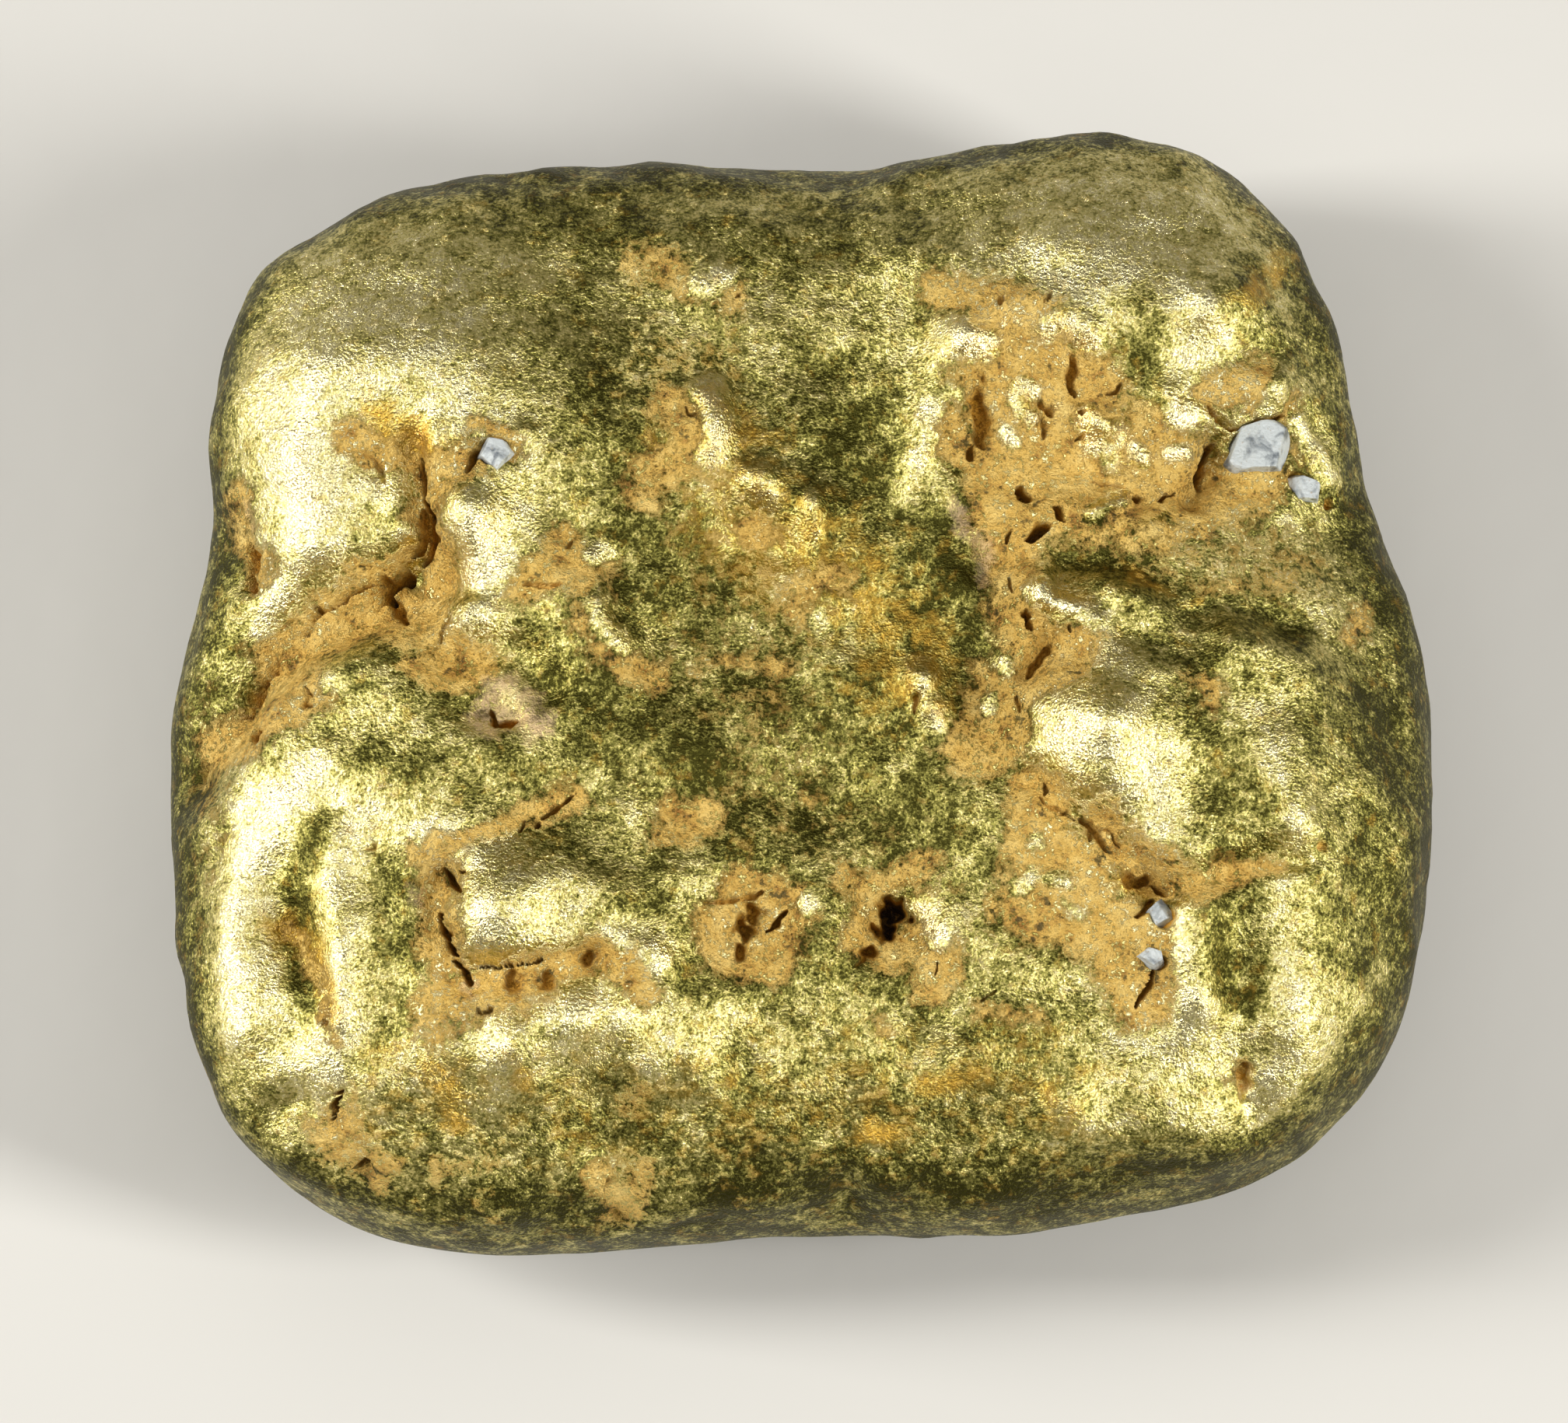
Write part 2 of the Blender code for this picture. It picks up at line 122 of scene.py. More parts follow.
# the nugget's own measures, in mm
nugget = {
    "rimHeight": 2.45,  # height of the widest line round it
    "crown": 3.05,  # height of the pillow above that line
    "belly": 2.6,  # and below it
    "crownPower": 2.5,  # 2 is an ellipse, larger is fuller
    "bellyPower": 2.15,
    "topShare": 0.93,  # how far out the block's top face reaches
    "bottomShare": 0.80,
    "topGrid": 54,  # squares along the block before it is refined
    "sideRows": 10,
    "blockFace": 0.9999,  # what is higher than this on the block, which reaches 1, is its top
    "levelWithin": 0.001,  # how far the ends of a level edge of the block may differ
    "fineReach": (0.11, 0.035),  # how far round the cracks each finer grid goes
    "easing": (-4.0, -2.0, 0.0, 2.0, 4.0),  # degrees over which the outline is averaged
    "upperFade": (0.1, 1.3),  # heights over the rim between which the forms of the top set in
    "lowerFade": (0.3, -0.9),  # and those of the underside
    "swellFullness": 1.8,  # 1 is a bell, larger is flatter on top
    # ragged edges and how things end, in shares of a half-width or reach where it isn't said
    "crackTaper": (0.35, 0.75),  # width of a crack at its ends, and what its middle adds
    "narrowest": 0.015,  # mm
    "crackSides": (1.15, 0.40),
    "crackShoulder": (0.09, 0.14),  # share of its depth that the ground sinks, and mm beside it
    "pitSides": (1.15, 0.35),
    "pitRagged": 0.8,
    "pitShoulder": (0.10, 2.4),
    "ledgeEnds": 0.12,
    "ledgeFoot": 0.45,  # where the ground has dropped, and where it climbs again
    "ledgeClimb": 0.5,
    "stainEdge": (1.9, 0.10, 0.3),  # half-widths and mm where a stain ends, half-widths where it's full
    # random dents: height low down, what the top adds, width, seed
    "dents": [(0.03, 0.07, 0.8, 5.0), (0.06, 0.08, 1.9, 11.0)],
    # layers of dents, each with height, width, seed
    "undersideDents": [(0.14, 2.6, 23.0), (0.07, 1.0, 31.0)],
    "skin": [(0.022, 0.42, 61.0), (0.008, 0.20, 67.0)],
    "crumbs": [(0.046, 0.26, 73.0), (0.024, 0.12, 79.0)],  # of the clay
    "wobble": [(0.9, 0.12, 59.0)],  # of the width of cracks and pits
    # how places wander across the photograph and up it, and how stains drift too
    "wander": (
        [(0.060, 0.30, 41.0), (0.035, 0.10, 43.0)],
        [(0.060, 0.30, 47.0), (0.035, 0.10, 53.0)],
    ),
    "drift": ([(0.16, 0.9, 83.0)], [(0.16, 0.9, 89.0)]),
    "stray": {"cracks": 0.6, "sockets": 0.3, "stains": 2.0, "ledges": 0.5},  # shares of that wandering
    "seedWay": (1.0, 0.37, -0.61),  # which way a seed moves the dents
    "skinShare": (0.35, 1.2, 0.6),  # everywhere, what the top adds, what wear takes off its high places
    "proudAt": (-0.15, 0.60),  # mm of relief between which a place becomes a high one
    "steepAt": (0.90, 0.55),  # upright part of the normal between which a side becomes a steep one, which gets painted shade
    # how strongly steep sides are painted darker, as shade laid on in the tarnish colour
    "steepShadeStrength": 1.1,
    "backwardAt": (0.22, 0.46),  # and backward part of it, for slopes that fall away to the back, which get painted shade
    # how strongly those slopes are painted darker, and how much less burnished they look
    "backShadeStrength": 0.2,
    "backShadeDulling": 0.1,
    "bareClears": 1.2,  # how much clay bare gold takes away
    "bareRises": 0.05,  # how far it stands up
    # how far those rows are painted burnished, as bare gold and as painted highlights
    "bareAndHighlightShine": 1.6,
    "claySinks": 0.030,
    "deepCrack": 0.45,  # depth that counts as one whole hollow
    "socketShade": 0.5,
    # plan outline, anticlockwise from the right
    "outline": [
        (8.12, -0.6), (8.02, 0.4), (7.75, 1.4), (7.45, 2.3), (7.22, 3.05), (6.88, 4), (6.64, 4.98),
        (6.48, 5.68), (6.1, 6.34), (5.6, 6.88), (5.02, 7.24), (4.36, 7.4), (3.38, 7.34), (2.38, 7.22),
        (1.4, 7.14), (0.6, 7.05), (-0.6, 7.02), (-1.6, 7.04), (-2.9, 7.02), (-4.18, 6.9), (-5.28, 6.6),
        (-6.25, 6.14), (-6.98, 5.58), (-7.32, 5), (-7.46, 4), (-7.46, 3), (-7.48, 2), (-7.78, 1),
        (-8.02, 0), (-8.08, -1), (-8.02, -2.08), (-7.86, -3.12), (-7.76, -4.15), (-7.58, -5.1),
        (-7.28, -5.62), (-6.76, -6.25), (-6.16, -6.66), (-5.5, -6.96), (-4.72, -7.18), (-3.84, -7.26),
        (-2.8, -7.18), (-1.3, -7.04), (0.2, -6.9), (1.7, -7), (3.2, -6.92), (4.6, -6.66), (5.3, -6.48),
        (6.02, -6.18), (6.55, -5.86), (6.98, -5.46), (7.42, -4.95), (7.74, -4.15), (7.98, -3.12),
        (8.1, -2.1),
    ],
    # broad swells and hollows: name, centre, half-widths, turn, height
    "swells": [
        ("upper left lobe", -5.3, 3.4, 2.5, 2.6, 10, 0.42),
        ("lower left lobe", -5.2, -3.6, 3, 3.2, 0, 0.48),
        ("upper right lobe", 4.7, 4.6, 3.1, 2.5, 0, 0.42),
        ("lower right lobe", 5.3, -2.3, 2.5, 3, 0, 0.52),
        ("middle valley", 0.5, 1.2, 2.2, 4.4, 0, -0.42),
        ("upper right basin", 3.6, 3, 1.7, 1.25, 10, -0.36),
        ("lower right hollow", 3.6, -3.3, 1.1, 1.4, 0, -0.24),
        ("front slope", -0.6, -4.6, 3.6, 1.4, 0, 0.16),
    ],
    # knobs, lumps and small hollows, in the same way
    "lumps": [
        ("shoulder of the upper left lobe", -5.5, 3.75, 1.3, 0.6, 0, 0.16),
        ("left flank of the upper left lobe", -6.5, 2.3, 0.8, 1.5, 0, 0.16),
        ("upper left basin", -5.1, 2.6, 0.55, 0.8, 0, -0.22),
        ("knob in the upper left", -4.15, 1.85, 0.42, 0.46, 0, 0.3),
        ("lump under the knob", -4.25, 0.4, 0.52, 0.42, -15, 0.3),
        ("diagonal lump", -2.85, 0.6, 0.4, 1.15, 35, 0.24),
        ("hollow beside the knob", -3.3, 1.9, 0.5, 0.8, 0, -0.14),
        ("hollow left of the middle", -2.5, 4.3, 1.3, 1.1, 0, -0.22),
        ("middle knob, upper", -1.25, 3.15, 0.5, 0.6, 0, 0.3),
        ("middle knob, centre", -0.72, 2.25, 0.45, 0.42, 0, 0.28),
        ("middle knob, right", 0.1, 1.9, 0.45, 0.4, 0, 0.24),
        ("low swell in the middle", 0.2, 0.9, 0.7, 0.4, 0, 0.14),
        ("middle dimple", -0.45, 1.45, 0.45, 0.35, 0, -0.16),
        ("hollow under the knobs", -1.6, 0.3, 0.8, 0.9, 20, -0.18),
        ("swell of the lower middle", -0.9, -1.1, 0.9, 0.6, 0, 0.14),
        ("hollow of the lower middle", 0.6, -1.9, 1, 0.7, 0, -0.14),
        ("knob of the upper right lobe", 5.15, 4.6, 0.5, 0.5, 0, 0.3),
        ("lump at the back right", 3.3, 5.3, 0.35, 0.45, 0, 0.16),
        ("lump left of the basin", 2.1, 4.15, 0.5, 0.6, 0, 0.22),
        ("lump above the basin", 3, 4.35, 0.45, 0.3, 0, 0.14),
        ("island in the basin", 3.9, 3.1, 0.4, 0.35, 0, 0.16),
        ("second island in the basin", 4.7, 3.3, 0.35, 0.45, 0, 0.14),
        ("dome over the quartz", 5.7, 3.5, 0.5, 0.3, 0, 0.2),
        ("rim beside the quartz", 6.75, 2.95, 0.28, 0.6, 0, 0.14),
        ("bay right of the basin", 5, 2.3, 0.6, 0.4, 20, -0.16),
        ("lip of the ledge", 3.5, 0.72, 0.85, 0.45, -12, 0.3),
        ("great lump of the right lobe", 3.85, -0.9, 0.85, 0.9, 0, 0.34),
        ("hollow between lip and lump", 3.4, 0, 0.5, 0.3, 0, -0.14),
        ("hollow right of the great lump", 5, -1, 0.5, 0.7, 0, -0.12),
        ("small lump by the middle", 1.55, -0.45, 0.3, 0.3, 0, 0.2),
        ("lump in the lower left bend", -3.9, -3.4, 0.55, 0.55, 0, 0.32),
        ("tail of that lump", -2.6, -3.15, 0.9, 0.4, 0, 0.16),
        ("hollow above the bend", -3.4, -2, 0.9, 0.5, 0, -0.16),
        ("lump below the bend", -3.8, -5.2, 0.6, 0.5, 0, 0.24),
        ("second lump below the bend", -2.9, -4.8, 0.5, 0.42, 0, 0.2),
        ("small rimmed lump", -1.95, -4.1, 0.42, 0.36, 0, 0.22),
        ("low front lump", -1.85, -5.3, 0.5, 0.42, 0, 0.18),
        ("hollow between front lumps", -2.4, -5.9, 0.5, 0.5, 0, -0.12),
        ("dimple of the lower left ridge", -6.4, -3.7, 0.3, 0.45, 0, -0.16),
        ("second dimple of the ridge", -6.3, -5.6, 0.35, 0.3, 0, -0.1),
        ("pit left of the middle", -3.9, -0.8, 0.5, 0.36, 0, -0.3),
        ("dish of the front pit", -0.7, -3.7, 0.85, 0.6, 0, -0.22),
        ("dish of the dark pit", 1.2, -3.55, 0.7, 0.62, 0, -0.24),
        ("wall between the pits", 0.25, -3.75, 0.35, 0.5, 0, 0.14),
        ("right wall of the dark pit", 1.95, -3.6, 0.35, 0.45, 0, 0.2),
        ("dish of the ochre patch", -1.5, -2.2, 0.5, 0.36, 0, -0.12),
        ("crystal cavity", 4.45, -3.1, 0.34, 0.26, 0, -0.32),
        ("lower right dimple", 5.78, -5.7, 0.34, 0.3, 0, -0.26),
        ("flat of the right flank", 5.7, -4.3, 0.5, 1, 0, -0.2),
        ("dent of the left waist", -7.05, 1.6, 0.35, 0.5, 0, -0.18),
        ("swell at the front right", 3.6, -5.9, 1.2, 0.6, 0, 0.14),
        ("front hollow", 1.2, -5.4, 1, 0.7, 0, -0.14),
        ("back saddle", 0.5, 6.6, 1.2, 1.2, 0, -0.14),
        ("notch at the front edge", 0.6, -6.9, 0.22, 0.6, 0, -0.2),
    ],
    # long ridges: name, half-width, height, line of the crest
    "ridges": [
        ("left edge of the upper left lobe", 0.6, 0.12, [(-6, 3.5), (-6.15, 2.8), (-6.2, 2), (-6.4, 1.2),
            (-6.8, 0.5)]),
        ("upper edge of the lower left lobe", 0.55, 0.26, [(-7.2, -1.5), (-6.6, -0.85), (-6.1, -0.45),
            (-5.5, -0.25), (-4.9, -0.35), (-4.4, -0.7)]),
        ("left edge of the lower left lobe", 0.75, 0.16, [(-5.5, -1.5), (-6.2, -1.8), (-6.7, -2.4),
            (-6.95, -3.2), (-7, -4), (-6.9, -4.8), (-6.7, -5.5)]),
        ("inner ridge of the lower left lobe", 0.35, 0.12, [(-5.95, -2.5), (-5.85, -3.2), (-5.75, -4.2),
            (-5.8, -5)]),
        ("tail of the knob", 0.28, 0.18, [(-4.15, 1.6), (-4.05, 1.05)]),
        ("back of the right lobe", 0.55, 0.26, [(4.3, 0.45), (4.9, -0.05), (5.5, -0.05), (6.2, -0.2)]),
        ("right edge of the right lobe", 0.65, 0.2, [(6.2, -1.2), (6.3, -2.2), (6.35, -3.2), (6.35, -4.2),
            (6.25, -5.2), (5.85, -5.95), (5.1, -6)]),
        ("bright ridge by the quartz", 0.26, 0.18, [(5.05, -3.3), (5, -4.4)]),
        ("ridge under the basin", 0.3, 0.14, [(2.2, 1.9), (2.9, 1.65), (3.6, 1.85), (4.4, 1.6)]),
        ("left wall of the basin", 0.35, 0.16, [(1.9, 3.8), (1.7, 3.1), (1.8, 2.3)]),
    ],
    # folds: name, half-width, depth, line of the bottom
    "folds": [
        ("fold between the left lobes", 0.85, 0.46, [(-7.5, -1.3), (-7.05, -0.3), (-6.5, 0.25),
            (-5.8, 0.6), (-5.1, 0.95), (-4.7, 0.8)]),
        ("crack in the upper left", 0.3, 0.17, [(-4.9, 2.7), (-4.83, 2.1), (-4.72, 1.5), (-5.05, 1.05),
            (-5.15, 0.65)]),
        ("hollow under the left lump", 0.45, 0.26, [(-4.4, -0.15), (-3.7, 0), (-3.2, -0.5)]),
        ("bend in the lower left", 0.36, 0.22, [(-4.5, -3), (-4.62, -3.6), (-4.35, -4.2), (-3.8, -4.25),
            (-3.2, -4.15), (-2.7, -4.05)]),
        ("fold under the basin", 0.5, 0.2, [(2.8, 1.35), (3.5, 1.4), (4, 1.25), (4.4, 0.95), (4.9, 0.58),
            (5.3, 0.6), (6.1, 0.4)]),
        ("band beside the right lobe", 0.75, 0.26, [(2.5, 1.5), (2.35, 0.6), (2.35, -0.4), (2.6, -1.6)]),
        ("crack beside the ledge", 0.26, 0.2, [(3.1, 0.35), (3.15, -0.05), (2.9, -0.35)]),
        ("cracks of the lower right", 0.34, 0.24, [(3, -1.7), (3.4, -2.1), (3.9, -2.35), (4.4, -2.9)]),
        ("crease of the lower right", 0.36, 0.2, [(4.7, -3.1), (5.4, -2.85), (6.1, -2.6)]),
        ("slit by the quartz", 0.34, 0.3, [(5.35, 2.85), (5.35, 2.5), (5.1, 2.15)]),
    ],
    # the same for the underside
    "underside": [
        ("hollow at the back left", -4.4, 3.6, 1.6, 1.2, 20, -0.26),
        ("hollow at the front right", 4.8, -3.2, 1.3, 1.8, -30, -0.3),
        ("swell at the back right", 4, 3.8, 1.8, 1.5, 0, 0.2),
        ("swell at the front left", -4.6, -3.4, 1.9, 1.5, 0, 0.18),
        ("dent at the back", 0.9, 5.2, 0.8, 0.6, 0, -0.24),
        ("dent at the left", -6, -0.6, 0.6, 1, 15, -0.22),
    ],
    "undersideFolds": [
        ("fold at the left", 0.6, 0.26, [(-7, -1.6), (-5.2, -0.9), (-3.6, 0.5), (-3.4, 1.6)]),
        ("fold at the front", 0.55, 0.24, [(2, -6.6), (2.4, -4.6), (3.6, -2.9), (5.2, -1.9)]),
    ],
    # narrow cracks: name, half-width, depth, line in the photograph's pixels
    "cracks": [
        ("main crack, upper end", 0.028, 0.2, [(539, 588), (541, 605), (544, 625), (545, 645)]),
        ("main crack, wide part", 0.055, 0.38, [(545, 640), (550, 655), (553, 672), (557, 688),
            (557, 702), (552, 717), (543, 728)]),
        ("main crack, floor of the bend", 0.06, 0.2, [(543, 655), (546, 680), (543, 703), (530, 718)]),
        ("black hole of the crack", 0.085, 0.55, [(532, 740), (518, 748), (504, 752), (497, 765),
            (492, 776)]),
        ("nick above the hole", 0.045, 0.3, [(490, 738), (498, 748)]),
        ("tail of the hole", 0.06, 0.24, [(500, 768), (510, 782), (520, 795), (525, 803)]),
        ("branch to the left", 0.022, 0.17, [(494, 749), (472, 755), (452, 760), (440, 771), (426, 782),
            (413, 784), (405, 791), (402, 800), (392, 810), (388, 822)]),
        ("nick of the branch", 0.035, 0.2, [(402, 776), (412, 784)]),
        ("outer crack", 0.06, 0.22, [(316, 700), (326, 715), (320, 735), (318, 748)]),
        ("crevice, upper end", 0.05, 0.22, [(352, 845), (356, 858), (347, 869)]),
        ("crevice", 0.08, 0.34, [(340, 873), (331, 886), (325, 900), (316, 914), (313, 922)]),
        ("crevice, lower end", 0.06, 0.3, [(331, 938), (326, 946), (324, 956)]),
        ("nick by the crevice", 0.04, 0.16, [(393, 884), (396, 898), (388, 906), (401, 902)]),
        ("slit beside the small grain", 0.06, 0.32, [(611, 576), (604, 592), (597, 605)]),
        ("crease above the crack", 0.03, 0.08, [(465, 585), (480, 590), (490, 603), (495, 620)]),
        ("crease of the left lump", 0.03, 0.07, [(583, 785), (575, 800), (568, 812), (565, 825)]),
        ("amber slot, left wall", 0.04, 0.3, [(630, 912), (632, 930)]),
        ("amber slot", 0.055, 0.3, [(634, 932), (650, 931), (664, 926)]),
        ("brown pit of the diagonal lump", 0.05, 0.13, [(672, 752), (690, 750), (705, 752), (721, 749)]),
        ("nick of the diagonal lump", 0.03, 0.1, [(733, 695), (727, 703)]),
        ("brown pits of the basin, upper", 0.06, 0.2, [(1377, 456), (1383, 470), (1374, 484), (1379, 497),
            (1383, 508)]),
        ("brown pits of the basin, middle", 0.065, 0.18, [(1337, 513), (1345, 524), (1353, 536)]),
        ("black pit of the basin", 0.07, 0.36, [(1308, 625), (1318, 632), (1327, 639)]),
        ("black nick of the basin", 0.05, 0.34, [(1357, 650), (1364, 660), (1371, 669)]),
        ("black pit under the basin", 0.065, 0.4, [(1350, 673), (1335, 678), (1328, 686), (1319, 692)]),
        ("dark dot of the basin", 0.055, 0.26, [(1460, 635), (1462, 644)]),
        ("dark dash of the basin", 0.035, 0.22, [(1492, 643), (1503, 637), (1511, 633)]),
        ("curved slit, wide end", 0.07, 0.42, [(1562, 567), (1555, 580)]),
        ("curved slit", 0.055, 0.4, [(1556, 578), (1549, 592), (1545, 606), (1542, 618), (1545, 630)]),
        ("slit under the dome", 0.045, 0.32, [(1556, 517), (1562, 530), (1572, 542), (1586, 550),
            (1600, 546)]),
        ("slit above the large grain", 0.035, 0.28, [(1600, 546), (1620, 540), (1638, 538), (1652, 529)]),
        ("slit left of the large grain", 0.035, 0.26, [(1594, 556), (1587, 575), (1585, 592)]),
        ("brown hollow by the chip", 0.07, 0.22, [(1706, 642), (1716, 652)]),
        ("dot of the basin", 0.04, 0.14, [(1390, 529), (1391, 532)]),
        ("brown dash of the basin", 0.04, 0.12, [(1384, 566), (1394, 559)]),
        ("brown crescent", 0.04, 0.14, [(1424, 506), (1436, 503), (1443, 493)]),
        ("hair crack of the basin", 0.025, 0.1, [(1340, 538), (1344, 552), (1343, 562)]),
        ("hair crack of the basin, right", 0.025, 0.1, [(1405, 619), (1425, 622), (1446, 627)]),
        ("nick left of the ledge", 0.03, 0.18, [(1301, 680), (1294, 695)]),
        ("nick of the upper clay", 0.03, 0.1, [(1284, 390), (1291, 380)]),
        ("second nick of the upper clay", 0.03, 0.1, [(1343, 386), (1351, 374)]),
        ("black pit of the band", 0.085, 0.32, [(1319, 781), (1319, 792)]),
        ("foot of that pit", 0.05, 0.24, [(1320, 795), (1326, 808)]),
        ("nick of the band", 0.03, 0.14, [(1299, 742), (1303, 760)]),
        ("small nick of the band", 0.03, 0.12, [(1375, 803), (1376, 811)]),
        ("brown fold of the band", 0.06, 0.18, [(1352, 832), (1341, 842), (1330, 856), (1321, 870)]),
        ("lower nick of the band", 0.04, 0.12, [(1308, 895), (1311, 915)]),
        ("comma of the right clay", 0.03, 0.14, [(1344, 1004), (1347, 1014), (1343, 1020)]),
        ("hair crack of the right clay", 0.022, 0.09, [(1336, 1024), (1344, 1034), (1356, 1038),
            (1366, 1045), (1381, 1054)]),
        ("dot of the right clay", 0.045, 0.14, [(1365, 1043), (1368, 1047)]),
        ("brown cracks of the right clay", 0.055, 0.17, [(1388, 1054), (1402, 1060), (1411, 1068),
            (1417, 1082), (1421, 1095)]),
        ("brown cracks, branch", 0.035, 0.13, [(1403, 1062), (1402, 1080)]),
        ("brown cracks, right branch", 0.03, 0.11, [(1412, 1062), (1430, 1068), (1440, 1090)]),
        ("edge of the cavity", 0.04, 0.24, [(1480, 1138), (1493, 1144), (1503, 1149)]),
        ("gap left of the lower grain", 0.035, 0.22, [(1484, 1158), (1474, 1172), (1464, 1182)]),
        ("slit under the lower chip", 0.038, 0.26, [(1483, 1248), (1479, 1261), (1474, 1274),
            (1467, 1287), (1461, 1298)]),
        ("little crack below the clay", 0.02, 0.08, [(1262, 1286), (1271, 1279), (1280, 1275)]),
        ("bend, upper end", 0.042, 0.32, [(572, 1116), (578, 1127), (583, 1138), (588, 1149)]),
        ("bend, dot", 0.035, 0.2, [(592, 1119), (598, 1122)]),
        ("bend, side", 0.04, 0.36, [(565, 1172), (567, 1186), (571, 1202), (577, 1216), (586, 1229)]),
        ("bend, corner", 0.045, 0.32, [(583, 1235), (593, 1244), (600, 1255), (604, 1268)]),
        ("bend, floor", 0.028, 0.17, [(612, 1243), (640, 1245), (665, 1243), (690, 1239), (698, 1234)]),
        ("foot of the bend", 0.04, 0.16, [(612, 1306), (621, 1303), (631, 1301)]),
        ("crack above the bend", 0.03, 0.18, [(736, 1022), (723, 1035), (709, 1046), (695, 1052)]),
        ("dot of that crack", 0.05, 0.22, [(691, 1057), (687, 1063)]),
        ("tail of that crack", 0.025, 0.12, [(673, 1056), (669, 1069)]),
        ("nick of the lower left lobe", 0.028, 0.12, [(466, 1092), (475, 1089), (478, 1079)]),
        ("slit of the front corner", 0.038, 0.28, [(436, 1404), (430, 1416), (427, 1430), (425, 1442)]),
        ("dot of the front corner", 0.06, 0.24, [(469, 1494), (466, 1504)]),
        ("second dot of the front corner", 0.04, 0.16, [(420, 1496), (423, 1503)]),
        ("nick of the ridge", 0.03, 0.1, [(414, 1322), (418, 1310), (424, 1300)]),
        ("crack of the front edge", 0.022, 0.1, [(785, 1528), (788, 1545), (793, 1562), (796, 1580)]),
        ("dot of the front edge", 0.05, 0.12, [(783, 1520), (787, 1530)]),
        ("crack over the front pit", 0.028, 0.12, [(904, 1160), (925, 1159), (944, 1158), (960, 1154)]),
        ("brown roof of the front pit", 0.05, 0.14, [(958, 1152), (972, 1151), (979, 1147)]),
        ("crack beside the front pit", 0.038, 0.26, [(1012, 1171), (1001, 1184), (991, 1196), (985, 1200)]),
        ("crack right of the dark pit", 0.03, 0.12, [(1206, 1240), (1203, 1253)]),
        ("nick of the left knob", 0.03, 0.12, [(881, 520), (886, 530), (894, 532)]),
        ("pinhole of the back", 0.04, 0.16, [(947, 376), (949, 379)]),
        ("nick of the glittering lump", 0.04, 0.14, [(1179, 895), (1176, 918)]),
        ("left flank hole", 0.035, 0.14, [(263, 990), (262, 1004)]),
        ("left flank nick", 0.03, 0.1, [(264, 1108), (275, 1101)]),
    ],
    # pits: name, half-widths, turn, depth, middle in the photograph's pixels
    "pits": [
        ("front pit, amber end", 0.17, 0.19, -10, 0.24, (966, 1180)),
        ("front pit, waist", 0.15, 0.2, 20, 0.3, (958, 1198)),
        ("front pit, foot", 0.09, 0.15, 0, 0.24, (952, 1222)),
        ("dark pit", 0.24, 0.19, -25, 0.6, (1150, 1173)),
        ("dark pit, middle", 0.17, 0.2, -30, 0.6, (1140, 1198)),
        ("dark pit, foot", 0.09, 0.2, -50, 0.36, (1118, 1222)),
        ("long pit of the basin", 0.13, 0.34, 4, 0.22, (1257, 515)),
        ("long pit of the basin, lower end", 0.14, 0.26, -4, 0.19, (1262, 552)),
        ("long pit of the basin, tip", 0.07, 0.14, -10, 0.2, (1250, 580)),
        ("outer hole", 0.1, 0.09, 0, 0.26, (320, 753)),
        ("amber pit of the bend", 0.14, 0.17, 0, 0.17, (661, 1265)),
        ("brown pit of the bend", 0.13, 0.14, 30, 0.18, (702, 1262)),
        ("right pit of the bend", 0.14, 0.09, 25, 0.18, (757, 1232)),
        ("crystal cavity", 0.19, 0.11, 0, 0.26, (1463, 1132)),
        ("dimple of the right ridge", 0.12, 0.24, -8, 0.16, (1603, 1385)),
        ("slot left of the lower lump", 0.1, 0.08, 0, 0.14, (1700, 1088)),
    ],
    # small lumps and dents: name, half-widths, turn, height, middle in pixels
    "touches": [
        ("hollow of the lower left lobe", 0.36, 1.0, 22, -0.2, (385, 1235)),
        ("inner ridge of that lobe", 0.16, 0.7, 0, 0.1, (438, 1275)),
        ("valley inside the ridge", 0.32, 1.1, 3, -0.13, (505, 1200)),
        ("outer ridge of that lobe", 0.22, 0.9, -5, 0.07, (305, 1180)),
        ("lower end of the outer ridge", 0.32, 0.35, 0, 0.08, (320, 1330)),
        ("notch below the outer ridge", 0.3, 0.22, 30, -0.1, (372, 1420)),
        ("lump inside the bend", 0.4, 0.55, 0, 0.16, (672, 1165)),
        ("lump below the bend", 0.33, 0.35, 0, 0.14, (668, 1345)),
        ("plate below the bend", 0.9, 0.28, 8, 0.1, (770, 1312)),
        ("fold left of the plate", 0.26, 0.5, 20, -0.12, (590, 1390)),
        ("knob under the plate", 0.35, 0.28, 0, 0.1, (690, 1402)),
        ("hollow of the front corner", 0.5, 0.32, 0, -0.1, (520, 1442)),
        ("lump of the front corner", 0.32, 0.45, 20, 0.12, (490, 1400)),
        ("hollow of the front", 0.45, 0.32, 0, -0.1, (780, 1482)),
        ("front rib", 0.2, 0.55, 0, 0.12, (892, 1345)),
        ("hollow right of the rib", 0.32, 0.5, 0, -0.1, (960, 1362)),
        ("front lump", 0.28, 0.4, 0, 0.1, (1120, 1382)),
        ("bead of the front", 0.13, 0.13, 0, 0.08, (1066, 1316)),
        ("front ridge", 0.28, 0.45, 10, 0.1, (1250, 1342)),
        ("hollow right of the ridge", 0.32, 0.5, 0, -0.1, (1312, 1420)),
        ("second front ridge", 0.26, 0.45, 0, 0.12, (1372, 1422)),
        ("low bead of the front", 0.15, 0.13, 0, 0.07, (1130, 1462)),
        ("back knob of the middle", 0.2, 0.48, 0, 0.16, (925, 540)),
        ("second knob of the middle", 0.2, 0.26, 0, 0.14, (985, 622)),
        ("third knob of the middle", 0.16, 0.28, 0, 0.12, (1046, 665)),
        ("glittering lump", 0.15, 0.18, 0, 0.12, (1185, 872)),
        ("foot of the glittering lump", 0.16, 0.17, 0, 0.12, (1195, 915)),
        ("little crest of the middle", 0.09, 0.22, 30, 0.08, (975, 925)),
        ("crest under it", 0.1, 0.34, 0, 0.08, (980, 985)),
        ("left face of the great lump", 0.44, 0.56, 0, 0.24, (1420, 925)),
